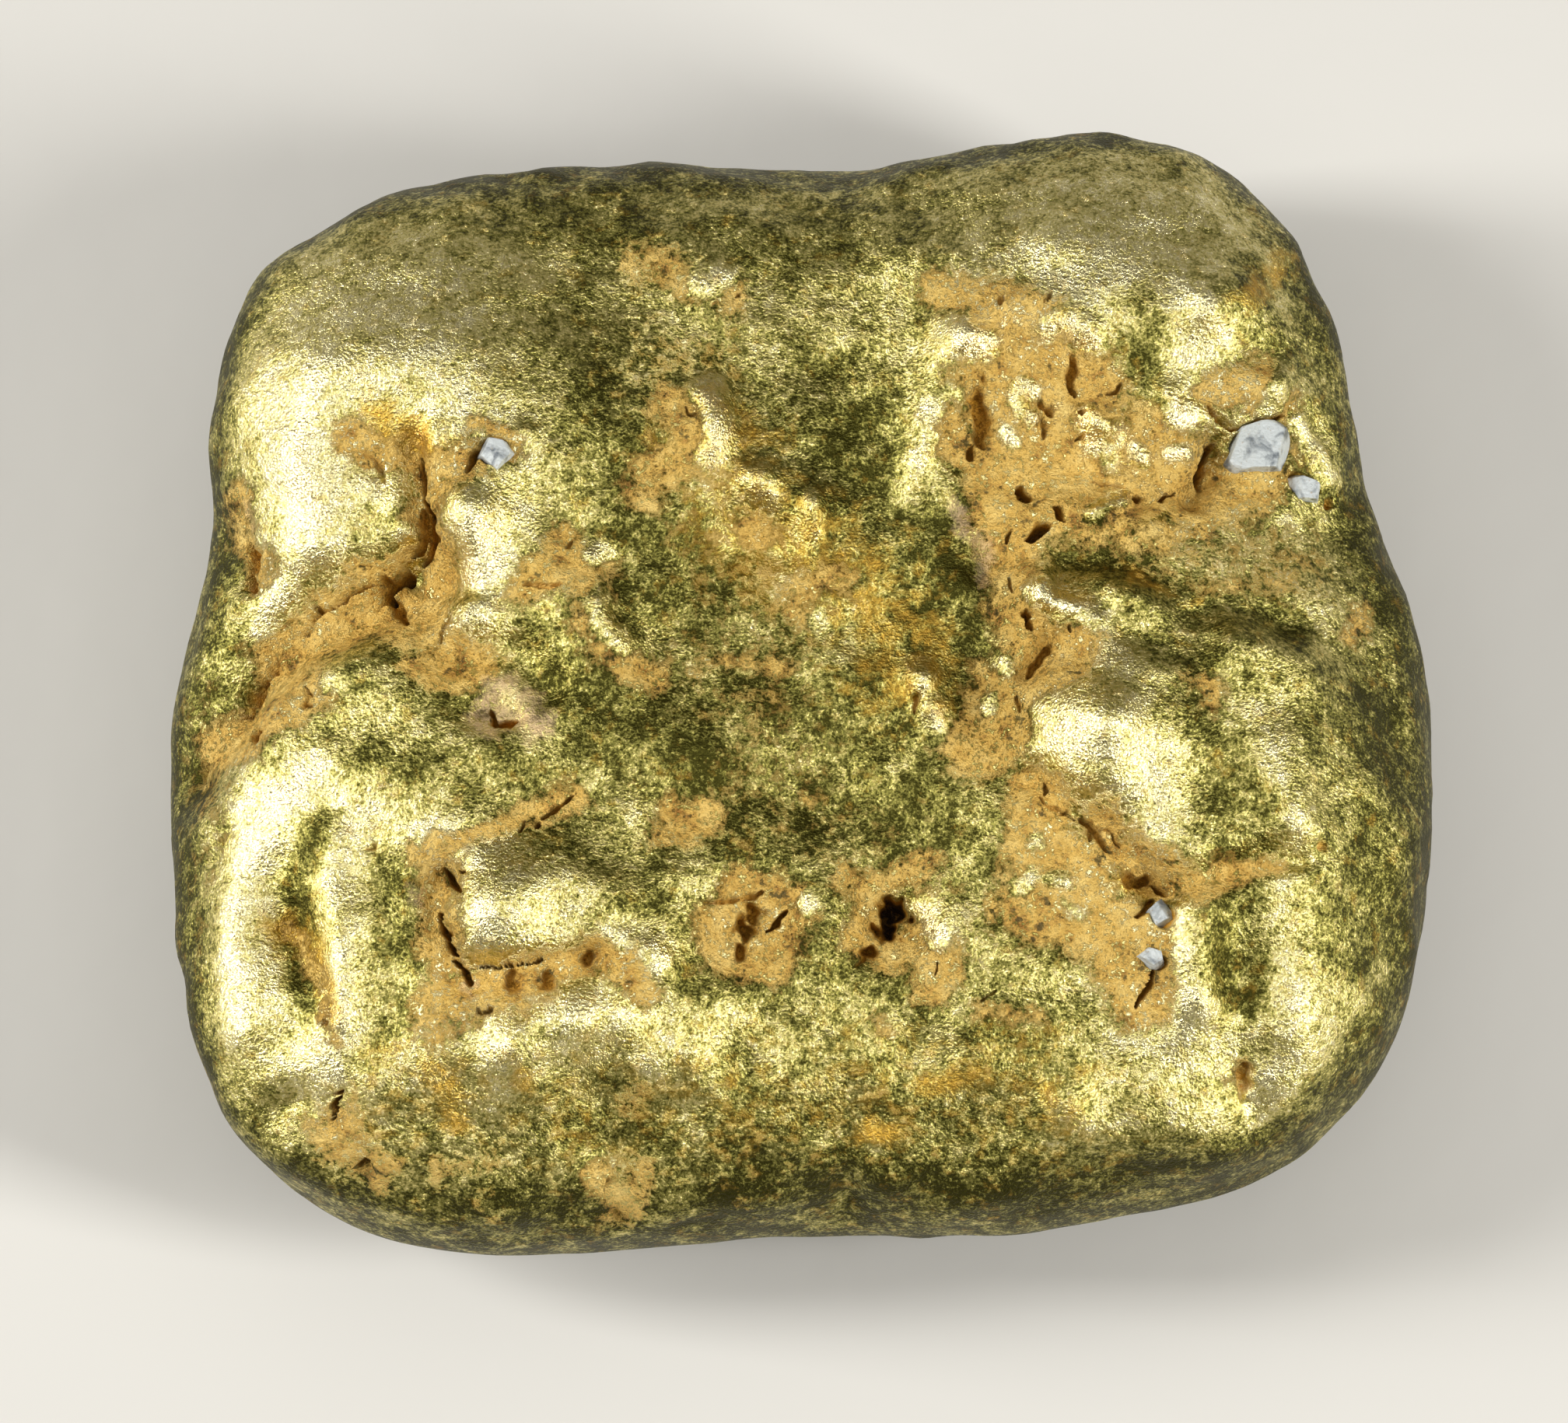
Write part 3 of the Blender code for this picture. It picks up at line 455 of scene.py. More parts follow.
        ("foot of the great lump", 0.4, 0.28, 0, 0.12, (1425, 1005)),
        ("shoulder of the great lump", 0.6, 0.7, 0, 0.12, (1545, 950)),
        ("crest by the great lump", 0.13, 0.32, 15, 0.08, (1502, 1010)),
        ("crease of the right ridge", 0.42, 0.1, 10, -0.12, (1668, 1110)),
        ("right ridge, back", 0.24, 0.45, 0, 0.08, (1665, 1050)),
        ("right ridge, front", 0.26, 0.6, 0, 0.08, (1670, 1310)),
        ("foot of the right ridge", 0.34, 0.17, 10, 0.1, (1620, 1427)),
        ("dish beside the right ridge", 0.28, 0.9, 0, -0.12, (1590, 1230)),
        ("knob of the upper right lobe", 0.25, 0.27, 0, 0.12, (1550, 398)),
        ("rim right of the dome", 0.13, 0.27, -15, 0.07, (1645, 495)),
        ("rim beside the large grain", 0.12, 0.5, 29, 0.05, (1690, 585)),
        ("lip under the ledge", 0.48, 0.15, -20, 0.12, (1375, 775)),
        ("island of the basin", 0.24, 0.18, 0, 0.1, (1412, 545)),
        ("back island of the basin", 0.24, 0.18, 0, 0.12, (1400, 425)),
        ("left knob of the basin", 0.26, 0.2, 0, 0.14, (1245, 437)),
        ("left wall of the basin", 0.14, 0.62, -15, 0.1, (1185, 580)),
        ("knob of the upper left", 0.28, 0.4, 0, 0.12, (615, 682)),
        ("rib above the crack", 0.11, 0.25, 0, 0.1, (560, 562)),
        ("bead by the small grain", 0.17, 0.13, -30, 0.1, (676, 560)),
        ("crest of the diagonal lump", 0.13, 0.55, 12, 0.12, (772, 760)),
        ("rim of the left lump", 0.3, 0.11, 0, 0.08, (595, 778)),
    ],
    # ledges: name, drop, how far off the ground is level again, line of the lip in pixels
    "ledges": [
        ("ledge under the basin", 0.32, 1.1, [(1345, 683), (1375, 688), (1410, 700), (1440, 718),
            (1475, 742), (1500, 757), (1530, 768), (1560, 776), (1600, 792)]),
    ],
    # where ochre clay lies: name, half-width, strength, line in pixels
    "clay": [
        ("shelf of the upper left lobe", 0.15, 1, [(414, 562), (448, 566)]),
        ("upper left, over the crack", 0.2, 0.9, [(475, 578), (505, 590), (540, 602), (578, 604),
            (600, 592)]),
        ("upper left, beside the crack", 0.2, 0.9, [(525, 630), (532, 670), (520, 705), (498, 722),
            (478, 738)]),
        ("upper left, right of the crack", 0.22, 1, [(562, 640), (568, 690), (578, 728), (562, 760)]),
        ("upper left, foot of the knob", 0.12, 0.8, [(595, 722), (605, 735)]),
        ("upper left, lower wall", 0.27, 1.1, [(412, 812), (440, 788), (480, 770), (520, 792), (545, 800)]),
        ("upper left, left lump", 0.2, 0.8, [(560, 825), (600, 842), (618, 852)]),
        ("upper left, under the lump", 0.11, 0.9, [(530, 848), (560, 862), (600, 872)]),
        ("ring of the small grain", 0.1, 0.9, [(620, 548), (650, 556), (662, 582)]),
        ("left flank", 0.17, 0.75, [(315, 640), (310, 695), (335, 745), (352, 728)]),
        ("crevice wall", 0.26, 1, [(395, 826), (352, 832), (365, 868), (385, 885), (350, 922), (312, 948),
            (285, 958)]),
        ("left edge", 0.12, 0.5, [(272, 930), (272, 1000), (266, 1050)]),
        ("diagonal lump", 0.2, 1, [(725, 712), (755, 728), (705, 745), (672, 757)]),
        ("diagonal lump, tail", 0.17, 0.9, [(752, 765), (765, 800), (790, 832), (810, 860), (842, 866)]),
        ("back patch", 0.17, 0.7, [(815, 335), (860, 340), (885, 362), (950, 370), (952, 395)]),
        ("left knob", 0.22, 0.85, [(858, 520), (885, 555), (900, 592), (832, 600), (822, 632)]),
        ("middle knob", 0.17, 0.8, [(962, 672), (978, 692)]),
        ("right of the middle", 0.15, 0.8, [(1008, 762), (1040, 748), (1085, 742)]),
        ("right of the middle, foot", 0.11, 0.7, [(1012, 785), (1018, 792)]),
        ("streak of the middle", 0.09, 0.7, [(905, 858), (955, 852), (1012, 862)]),
        ("round patch", 0.22, 1, [(862, 1052), (888, 1064), (908, 1045)]),
        ("front pit", 0.22, 1.1, [(925, 1182), (948, 1152), (985, 1155), (1025, 1165), (1002, 1208),
            (965, 1232), (932, 1218), (990, 1240)]),
        ("dark pit, back", 0.13, 0.8, [(1085, 1125), (1130, 1132), (1180, 1122), (1200, 1112)]),
        ("dark pit", 0.18, 1.1, [(1122, 1155), (1105, 1208), (1150, 1232), (1188, 1212), (1180, 1178),
            (1208, 1240), (1205, 1268)]),
        ("basin, upper left", 0.26, 0.9, [(1212, 382), (1262, 388), (1335, 392)]),
        ("basin, left", 0.4, 1.1, [(1265, 425), (1282, 485), (1300, 555), (1292, 622), (1300, 680)]),
        ("basin, middle", 0.45, 1.1, [(1345, 445), (1395, 505), (1362, 560), (1400, 600), (1352, 640),
            (1440, 625), (1440, 575)]),
        ("basin, right", 0.3, 1, [(1480, 620), (1520, 602), (1502, 562), (1530, 642), (1562, 622),
            (1618, 622)]),
        ("basin, left wall", 0.18, 0.9, [(1222, 545), (1242, 582)]),
        ("dome", 0.2, 0.9, [(1560, 500), (1598, 500), (1622, 484)]),
        ("behind the large grain", 0.13, 0.8, [(1682, 592), (1668, 562), (1655, 505)]),
        ("under the basin", 0.18, 0.7, [(1405, 690), (1462, 690), (1520, 690), (1580, 650)]),
        ("ledge", 0.2, 0.6, [(1432, 722), (1482, 742), (1532, 772), (1600, 762), (1652, 742)]),
        ("band", 0.3, 1.1, [(1290, 702), (1302, 742), (1312, 792), (1332, 832), (1320, 882), (1282, 882),
            (1262, 932), (1252, 962), (1290, 932)]),
        ("band, right", 0.22, 0.9, [(1388, 775), (1402, 802), (1378, 832), (1362, 872)]),
        ("square spot", 0.17, 0.8, [(1532, 885), (1552, 905)]),
        ("edge spot", 0.14, 0.8, [(1752, 785), (1745, 805)]),
        ("right clay", 0.3, 1.1, [(1332, 1015), (1342, 1062), (1332, 1102), (1382, 1112), (1402, 1152),
            (1342, 1180), (1322, 1170), (1452, 1192), (1422, 1212), (1442, 1242), (1462, 1282),
            (1482, 1222)]),
        ("right clay, upper", 0.22, 0.9, [(1422, 1062), (1442, 1092), (1502, 1122)]),
        ("right crease", 0.13, 0.9, [(1540, 1142), (1582, 1122), (1622, 1108), (1642, 1100)]),
        ("right clay, left end", 0.13, 0.6, [(1272, 1172), (1300, 1120)]),
        ("dimple of the right ridge", 0.12, 0.8, [(1605, 1375), (1602, 1395)]),
        ("bend, back", 0.16, 0.9, [(562, 1112), (560, 1142), (556, 1202), (572, 1242)]),
        ("bend, right wall", 0.12, 0.9, [(600, 1122), (598, 1165), (592, 1205)]),
        ("bend, floor", 0.18, 1, [(562, 1282), (592, 1282), (622, 1272), (682, 1262), (732, 1242),
            (782, 1222), (822, 1252), (832, 1272)]),
        ("above the bend", 0.11, 0.85, [(532, 1082), (600, 1092), (652, 1062), (702, 1042), (736, 1022)]),
        ("foot of the bend", 0.11, 0.7, [(542, 1312), (602, 1302)]),
        ("hollow of the lower left lobe", 0.09, 0.75, [(368, 1195), (386, 1232), (404, 1262)]),
        ("foot of that hollow", 0.05, 0.8, [(414, 1296), (420, 1332)]),
        ("front of the bend", 0.16, 0.7, [(560, 1330), (640, 1290), (700, 1300)]),
        ("front corner", 0.24, 0.8, [(442, 1442), (452, 1482), (482, 1502), (420, 1452)]),
        ("front", 0.14, 0.5, [(562, 1502), (642, 1492)]),
        ("front, middle", 0.13, 0.6, [(812, 1432), (822, 1402)]),
        ("front edge", 0.15, 0.8, [(762, 1512), (790, 1540), (800, 1562), (822, 1512)]),
        ("front slope", 0.11, 0.7, [(1260, 1292), (1302, 1312), (1328, 1312)]),
        ("little spot", 0.07, 0.7, [(1138, 1320), (1142, 1326)]),
        ("spot under the middle", 0.09, 0.7, [(1022, 1028), (1028, 1036)]),
        ("dust of the front", 0.8, 0.18, [(470, 1440), (620, 1500), (800, 1460), (960, 1480),
            (1120, 1440), (1300, 1420)]),
        ("dust of the middle", 0.7, 0.34, [(880, 480), (900, 620), (980, 760), (960, 880), (1000, 1000)]),
        ("dust under the basin", 0.5, 0.45, [(1460, 680), (1560, 700), (1660, 720)]),
        ("dust below the middle", 0.5, 0.28, [(1060, 1080), (1160, 1080), (1250, 1200)]),
        ("dust of the left edge", 0.35, 0.28, [(262, 900), (262, 1050), (272, 1200)]),
    ],
    # gold that shows through the clay, and painted highlights: burnished colour laid on the lobes, knobs,
    # ridges and lips where the lamps glint
    "bareAndHighlight": [
        ("glint of the basin", 0.1, 1, [(1397, 538), (1411, 549)]),
        ("glint under it", 0.08, 1, [(1399, 560), (1406, 573)]),
        ("left glint", 0.05, 1, [(1321, 537), (1327, 541)]),
        ("left glint, lower", 0.07, 1, [(1296, 556), (1300, 567)]),
        ("tall glint", 0.06, 1, [(1504, 503), (1508, 530)]),
        ("tall glint, foot", 0.09, 1, [(1514, 541), (1529, 535)]),
        ("flat glint", 0.05, 1, [(1504, 581), (1521, 581)]),
        ("left knob of the basin", 0.16, 1, [(1222, 428), (1243, 440), (1264, 445)]),
        ("slanting glint", 0.05, 1, [(1405, 661), (1420, 650), (1442, 640)]),
        ("back of the basin", 0.12, 0.8, [(1345, 425), (1375, 415), (1400, 445)]),
        ("ring of flecks", 0.045, 1, [(1302, 506), (1311, 498), (1324, 492), (1331, 501)]),
        ("fleck of the basin", 0.055, 1, [(1309, 516), (1310, 531)]),
        ("fleck of the basin, right", 0.05, 1, [(1458, 575), (1468, 590)]),
        ("flecks right of the basin", 0.1, 0.7, [(1441, 556), (1430, 590), (1440, 602)]),
        ("flecks of the right clay", 0.06, 1, [(1352, 1128), (1371, 1133)]),
        ("glint of the right clay", 0.07, 1, [(1312, 1142), (1326, 1127)]),
        ("fleck of the right clay", 0.05, 0.9, [(1330, 1086), (1338, 1082)]),
        ("low flecks of the right clay", 0.08, 0.6, [(1372, 1165), (1390, 1175)]),
        ("flecks by the crack", 0.13, 1, [(470, 628), (495, 645), (508, 632)]),
        ("flecks by the crack, lower", 0.1, 1, [(478, 700), (500, 690), (515, 688)]),
        ("fleck of the band", 0.04, 1, [(1271, 897), (1271, 914)]),
        ("second fleck of the band", 0.05, 0.9, [(1286, 852), (1293, 862)]),
        ("crest of the diagonal lump", 0.07, 1, [(764, 716), (779, 704)]),
        ("crest of its tail", 0.08, 1, [(766, 772), (775, 802), (800, 828)]),
        ("wall of the dark pit", 0.1, 0.75, [(1183, 1172), (1200, 1190), (1206, 1212)]),
        ("wall of the front pit", 0.06, 0.9, [(1036, 1163), (1046, 1154)]),
        ("end of the bend", 0.1, 1, [(838, 1222), (852, 1250)]),
        ("lip of the bend", 0.06, 0.8, [(775, 1195), (800, 1210)]),
        ("slope of the ledge", 0.3, 0.75, [(1425, 765), (1500, 800), (1580, 815), (1640, 842)]),
        ("upper left lobe", 0.24, 1, [(392, 520), (388, 600), (392, 700)]),
        ("upper left lobe, foot", 0.1, 0.8, [(370, 760), (335, 810)]),
        ("knob of the upper left", 0.24, 0.9, [(600, 660), (625, 690), (620, 730)]),
        ("back knob of the middle", 0.11, 0.8, [(912, 500), (925, 560), (915, 585)]),
        ("second knob of the middle", 0.1, 0.7, [(968, 615), (984, 640)]),
        ("third knob of the middle", 0.08, 0.9, [(1040, 645), (1046, 685)]),
        ("left wall of the basin", 0.11, 0.7, [(1195, 520), (1180, 580), (1165, 640)]),
        ("round knob", 0.14, 1.1, [(1540, 385), (1543, 405)]),
        ("rim right of the dome", 0.06, 0.9, [(1652, 470), (1640, 510)]),
        ("rim beside the large grain", 0.06, 0.9, [(1668, 540), (1688, 585), (1710, 615)]),
        ("lip under the ledge", 0.11, 1, [(1335, 760), (1375, 775), (1412, 788)]),
        ("glittering lump", 0.11, 1.1, [(1176, 862), (1188, 884)]),
        ("foot of the glittering lump", 0.11, 1.1, [(1188, 905), (1204, 925)]),
        ("great lump", 0.32, 0.9, [(1372, 945), (1420, 955)]),
        ("right ridge, back", 0.22, 0.8, [(1655, 1010), (1668, 1080)]),
        ("right ridge, front", 0.24, 0.8, [(1662, 1250), (1670, 1350), (1620, 1420)]),
        ("ridge by the lower grain", 0.1, 0.9, [(1520, 1170), (1522, 1230)]),
        ("lower left lobe", 0.16, 1, [(420, 975), (360, 1030), (318, 1110), (302, 1200), (306, 1330)]),
        ("inner ridge of that lobe", 0.09, 0.8, [(425, 1060), (434, 1200), (440, 1310)]),
        ("lump inside the bend", 0.16, 0.9, [(622, 1110), (618, 1150), (625, 1210)]),
        ("lump below the bend", 0.16, 0.9, [(652, 1325), (642, 1365)]),
        ("plate below the bend", 0.1, 0.7, [(700, 1310), (780, 1295), (830, 1330)]),
        ("glints of the back patch", 0.1, 0.8, [(905, 365), (925, 352)]),
    ],
    # pale clay, golden stain, and where tarnish is thickest, with painted shade laid on as tarnish, in the
    # same way
    "pale": [
        ("beside the amber slot", 0.16, 1.15, [(622, 892), (652, 885), (682, 905), (690, 925), (615, 925)]),
        ("left of the ledge", 0.12, 0.9, [(1228, 650), (1235, 690), (1262, 705), (1258, 742)]),
        ("left of the bend", 0.08, 0.9, [(540, 1140), (532, 1155)]),
        ("strip in the bend", 0.03, 1, [(598, 1272), (602, 1292)]),
        ("wall of the crack", 0.05, 0.5, [(385, 815), (392, 835)]),
        ("front of the lobe", 0.05, 0.8, [(325, 650), (330, 680)]),
        ("back of the right lobe", 0.12, 0.35, [(1372, 225), (1362, 250)]),
    ],
    "yellow": [
        ("upper left hollow", 0.22, 0.9, [(490, 540), (520, 552), (545, 572)]),
        ("back of the basin", 0.17, 0.6, [(1640, 345), (1610, 380)]),
        ("knobs of the middle", 0.12, 0.7, [(962, 565), (985, 560)]),
        ("right of the middle", 0.13, 0.7, [(1090, 725), (1122, 735)]),
        ("ridge of the lower left lobe", 0.12, 0.8, [(352, 1182), (380, 1212), (402, 1232), (416, 1272),
            (420, 1308)]),
        ("lower left, front", 0.18, 0.8, [(558, 1372), (580, 1402), (592, 1430)]),
        ("lower left, front right", 0.09, 0.7, [(672, 1378), (668, 1392)]),
        ("front spot", 0.11, 1, [(1118, 1460), (1132, 1462)]),
        ("front streak", 0.12, 0.8, [(1178, 1405), (1218, 1388), (1252, 1392)]),
        ("front right", 0.12, 0.7, [(1338, 1402), (1372, 1442)]),
        # partly golden stain, partly a painted highlight along the lip of the ledge
        ("under the ledge", 0.02, 0.6, [(1438, 722), (1490, 758), (1520, 768), (1545, 776)]),
        ("cavity", 0.12, 0.9, [(1450, 1128), (1478, 1136)]),
        ("floor of the crack", 0.1, 0.8, [(545, 700), (520, 728)]),
        ("warmth of the front", 0.7, 0.25, [(520, 1400), (700, 1420), (860, 1400), (1060, 1400),
            (1240, 1380), (1360, 1420)]),
        ("warmth of the middle", 0.6, 0.5, [(900, 560), (980, 700), (1100, 740), (1160, 860)]),
        ("warmth of the basin", 0.6, 0.5, [(1300, 430), (1400, 520), (1480, 620)]),
    ],
    # tarnish in the low places, and painted shade laid on as tarnish: the flanks, the front and back edges,
    # under the ledge and on the slopes beside the highlights
    "tarnish": [
        ("middle valley, right", 0.7, 0.95, [(1100, 560), (1100, 640), (1130, 700), (1190, 750),
            (1225, 830), (1215, 920), (1100, 940)]),
        ("middle valley, left", 0.55, 0.8, [(770, 500), (775, 600), (830, 680), (900, 740), (720, 820),
            (770, 855), (850, 915), (900, 930), (1000, 890)]),
        ("middle valley, front", 0.6, 0.75, [(880, 980), (960, 1050), (1080, 1030), (1180, 1040)]),
        ("between the pits", 0.28, 0.9, [(1045, 1225), (1075, 1250), (1140, 1262), (1180, 1285)]),
        ("left of the front pit", 0.28, 0.9, [(868, 1180), (885, 1240), (940, 1265), (980, 1280)]),
        ("above the lower left lobe", 0.3, 1, [(470, 815), (520, 850), (590, 885), (600, 905), (450, 875),
            (390, 925), (345, 975)]),
        ("inner side of the lower left lobe", 0.32, 1.5, [(505, 1110), (510, 1200), (500, 1300)]),
        ("between its ridges", 0.15, 2, [(412, 1060), (385, 1130), (374, 1230), (388, 1290)]),
        ("above the bend", 0.45, 1.1, [(640, 1010), (760, 1080), (820, 1150)]),
        ("shade of the ledge", 0.42, 1.55, [(1430, 700), (1500, 790), (1580, 800), (1650, 840),
            (1540, 850)]),
        ("left of the middle", 0.5, 1.3, [(740, 900), (800, 940), (880, 960)]),
        ("right flank", 0.6, 1.6, [(1720, 900), (1760, 1000), (1760, 1120), (1740, 1200)]),
        ("right of the great lump", 0.36, 1.5, [(1520, 900), (1570, 960), (1600, 1040)]),
        ("above the right ridge", 0.34, 1.3, [(1640, 860), (1700, 900), (1730, 960)]),
        ("between the right lobes", 0.36, 1.7, [(1560, 1000), (1560, 1080), (1590, 1160), (1590, 1260)]),
        ("right of the round knob", 0.26, 1.3, [(1600, 360), (1622, 420), (1640, 460)]),
        ("back of the lower left lobe", 0.36, 1.3, [(400, 925), (460, 950), (510, 990), (600, 1010)]),
        ("back of the upper left lobe", 0.45, 0.3, [(380, 320), (480, 310), (600, 330)]),
        ("left edge", 0.35, 0.9, [(250, 880), (243, 1000), (250, 1150)]),
        ("front, all along", 0.8, 0.65, [(560, 1430), (800, 1420), (1000, 1400), (1300, 1380)]),
        ("beside the round knob", 0.2, 1.3, [(1470, 390), (1475, 450), (1478, 520)]),
        ("upper left, flecks by the crack", 0.14, 0.9, [(475, 640), (510, 650), (500, 690), (470, 695)]),
        ("basin, flecks", 0.07, 0.9, [(1310, 500), (1312, 530), (1328, 492)]),
        ("basin, right flecks", 0.06, 0.8, [(1460, 580), (1466, 590)]),
        ("left of the basin", 0.16, 0.8, [(1230, 610), (1250, 650), (1215, 690)]),
        ("under the ledge lip", 0.12, 0.8, [(1352, 705), (1395, 715)]),
        ("right clay, flecks", 0.09, 0.9, [(1355, 1130), (1372, 1135)]),
        ("right clay, left flecks", 0.16, 0.8, [(1285, 1120), (1300, 1140), (1330, 1215), (1370, 1225)]),
        ("front, left", 0.35, 0.6, [(600, 1440), (680, 1460), (760, 1480)]),
        ("front edge", 0.45, 0.8, [(480, 1540), (640, 1570), (820, 1575), (1000, 1560), (1200, 1545),
            (1400, 1520)]),
        ("back edge", 0.45, 0.45, [(560, 250), (760, 280), (960, 290), (1120, 260), (1300, 200)]),
        ("back, left of the middle", 0.4, 0.5, [(700, 380), (760, 440), (690, 480)]),
    ],
}


def outlineRadius(angle):
    # distance from the middle to the plan outline, with its corners eased
    points = np.array(nugget["outline"])
    bearing = np.arctan2(points[:, 1], points[:, 0])
    order = np.argsort(bearing)
    radius = np.hypot(points[:, 0], points[:, 1])[order]
    turns = np.radians(nugget["easing"])
    reaches = [np.interp(angle + t, bearing[order], radius, period=2.0 * math.pi) for t in turns]
    return sum(reaches) / len(reaches)


def pillow(cage):
    # carries points of the block onto the smooth pillow, evenly spaced in plan
    u, v, w = cage.T
    angle = np.arctan2(v, u)
    ring = np.maximum(np.abs(u), np.abs(v))
    crownTurn = math.acos(nugget["topShare"] ** (nugget["crownPower"] / 2.0))
    bellyTurn = math.acos(nugget["bottomShare"] ** (nugget["bellyPower"] / 2.0))
    rise = np.where(w > 0.0, crownTurn * w, bellyTurn * w)
    onTop = w > nugget["blockFace"]
    onBottom = w < -nugget["blockFace"]
    rise[onTop] = np.arccos((nugget["topShare"] * ring[onTop]) ** (nugget["crownPower"] / 2.0))
    rise[onBottom] = -np.arccos((nugget["bottomShare"] * ring[onBottom]) ** (nugget["bellyPower"] / 2.0))
    power = np.where(rise >= 0.0, nugget["crownPower"], nugget["bellyPower"])
    height = np.where(rise >= 0.0, nugget["crown"], -nugget["belly"])
    reach = outlineRadius(angle) * np.cos(rise) ** (2.0 / power)
    z = nugget["rimHeight"] + height * np.abs(np.sin(rise)) ** (2.0 / power)
    return np.column_stack([reach * np.cos(angle), reach * np.sin(angle), z])


def roundness(x, y, cx, cy, halfX, halfY, turn):
    # 0 at the middle of a turned oval, 1 on its edge
    c, s = math.cos(math.radians(turn)), math.sin(math.radians(turn))
    u = ((x - cx) * c + (y - cy) * s) / halfX
    v = ((y - cy) * c - (x - cx) * s) / halfY
    return np.hypot(u, v)


def alongLine(x, y, line):
    # how far the nearest place of a line is, and where on the line it lies, from 0 to 1
    nearest = np.full(x.shape, farAway)
    share = np.zeros_like(x)
    lengths = [math.dist(a, b) for a, b in zip(line, line[1:])]
    passed = 0.0
    for (ax, ay), (bx, by), length in zip(line, line[1:], lengths):
        ux, uy = (bx - ax) / length, (by - ay) / length
        t = np.clip((x - ax) * ux + (y - ay) * uy, 0.0, length)
        away = np.hypot(x - ax - t * ux, y - ay - t * uy)
        share = np.where(away < nearest, (passed + t) / sum(lengths), share)
        nearest = np.minimum(nearest, away)
        passed += length
    return nearest, share


def lineDistance(x, y, line):
    return alongLine(x, y, line)[0]


def ledgeDrop(x, y):
    # a crisp lip: the ground drops to the right of each line and climbs back further off
    drop = np.zeros_like(x)
    for _, deep, reach, pixels in nugget["ledges"]:
        line = pixelLine(pixels)
        away, share = alongLine(x, y, line)
        side = np.zeros_like(x)
        nearest = np.full(x.shape, farAway)
        for (ax, ay), (bx, by) in zip(line, line[1:]):
            middle = np.hypot(x - (ax + bx) / 2.0, y - (ay + by) / 2.0)
            turned = (bx - ax) * (ay - y) - (by - ay) * (ax - x)
            side = np.where(middle < nearest, turned, side)
            nearest = np.minimum(nearest, middle)
        ends = smoothStep(0.0, nugget["ledgeEnds"], share * (1.0 - share))
        fallen = smoothStep(0.0, nugget["ledgeFoot"] * reach, away)
        kept = smoothStep(reach, nugget["ledgeClimb"] * reach, away)
        drop = np.maximum(drop, np.where(side > 0.0, deep * ends * fallen * kept, 0.0))
    return drop


def relief(x, y, mounds, folds=(), fullness=1.0):
    # height that rounded mounds and long folds give the ground
    height = np.zeros_like(x)
    for _, cx, cy, halfX, halfY, turn, rise in mounds:
        height += rise * np.exp(-(roundness(x, y, cx, cy, halfX, halfY, turn) ** (2.0 * fullness)))
    for _, halfWidth, depth, line in folds:
        height -= depth * smoothStep(halfWidth, 0.0, lineDistance(x, y, line))
    return height


def upperRelief(x, y):
    height = relief(x, y, nugget["swells"], nugget["folds"], nugget["swellFullness"])
    height += relief(x, y, nugget["lumps"])
    for _, halfWidth, rise, line in nugget["ridges"]:
        height += rise * np.exp(-((lineDistance(x, y, line) / halfWidth) ** 2))
    return height


def hammering(points, layers):
    # soft random dents, the sum of layers: height, width in mm, seed
    total = np.zeros(len(points))
    for rise, size, seed in layers:
        shift = Vector([seed * way for way in nugget["seedWay"]])
        total += rise * np.array([noise.noise(Vector(p) / size + shift) for p in points])
    return total


def painted(x, y, lines):
    # 1 along the lines of a table, falling to 0 outside them
    cover = np.zeros_like(x)
    outer, beyond, inner = nugget["stainEdge"]
    for _, halfWidth, strength, line in lines:
        away = lineDistance(x, y, pixelLine(line))
        fade = smoothStep(outer * halfWidth + beyond, inner * halfWidth, away)
        cover = np.maximum(cover, strength * fade)
    return cover


def crackDepth(x, y, wobble):
    # depth of the narrow cracks and pits, and a gentle sinking of the ground beside them
    depth = np.zeros_like(x)
    shoulder = np.zeros_like(x)
    atEnds, midway = nugget["crackTaper"]
    sunk, beside = nugget["crackShoulder"]
    for _, halfWidth, deep, line in nugget["cracks"]:
        away, share = alongLine(x, y, pixelLine(line))
        taper = atEnds + midway * np.sqrt(np.abs(np.sin(np.pi * share)))  # it runs out at both ends
        width = np.maximum(halfWidth * taper * (1.0 + wobble), nugget["narrowest"])
        depth = np.maximum(depth, deep * smoothStep(*nugget["crackSides"], away / width))
        shoulder = np.maximum(shoulder, sunk * deep * smoothStep(halfWidth + beside, halfWidth, away))
    sunk, beside = nugget["pitShoulder"]
    for _, halfX, halfY, turn, deep, middle in nugget["pits"]:
        cx, cy = pixelLine([middle])[0]
        away = roundness(x, y, cx, cy, halfX, halfY, turn) - nugget["pitRagged"] * wobble
        depth = np.maximum(depth, deep * smoothStep(*nugget["pitSides"], away))
        shoulder = np.maximum(shoulder, sunk * deep * smoothStep(beside, 1.0, away))
    return depth, shoulder


def socketCover(x, y):
    # 1 where a quartz grain sits
    cover = np.zeros_like(x)
    for cx, cy, halfX, halfY, _, turn, _ in grains["stones"].values():
        away = roundness(x, y, cx, cy, halfX, halfY, turn)
        cover = np.maximum(cover, smoothStep(*grains["socketWall"], away))
    return cover


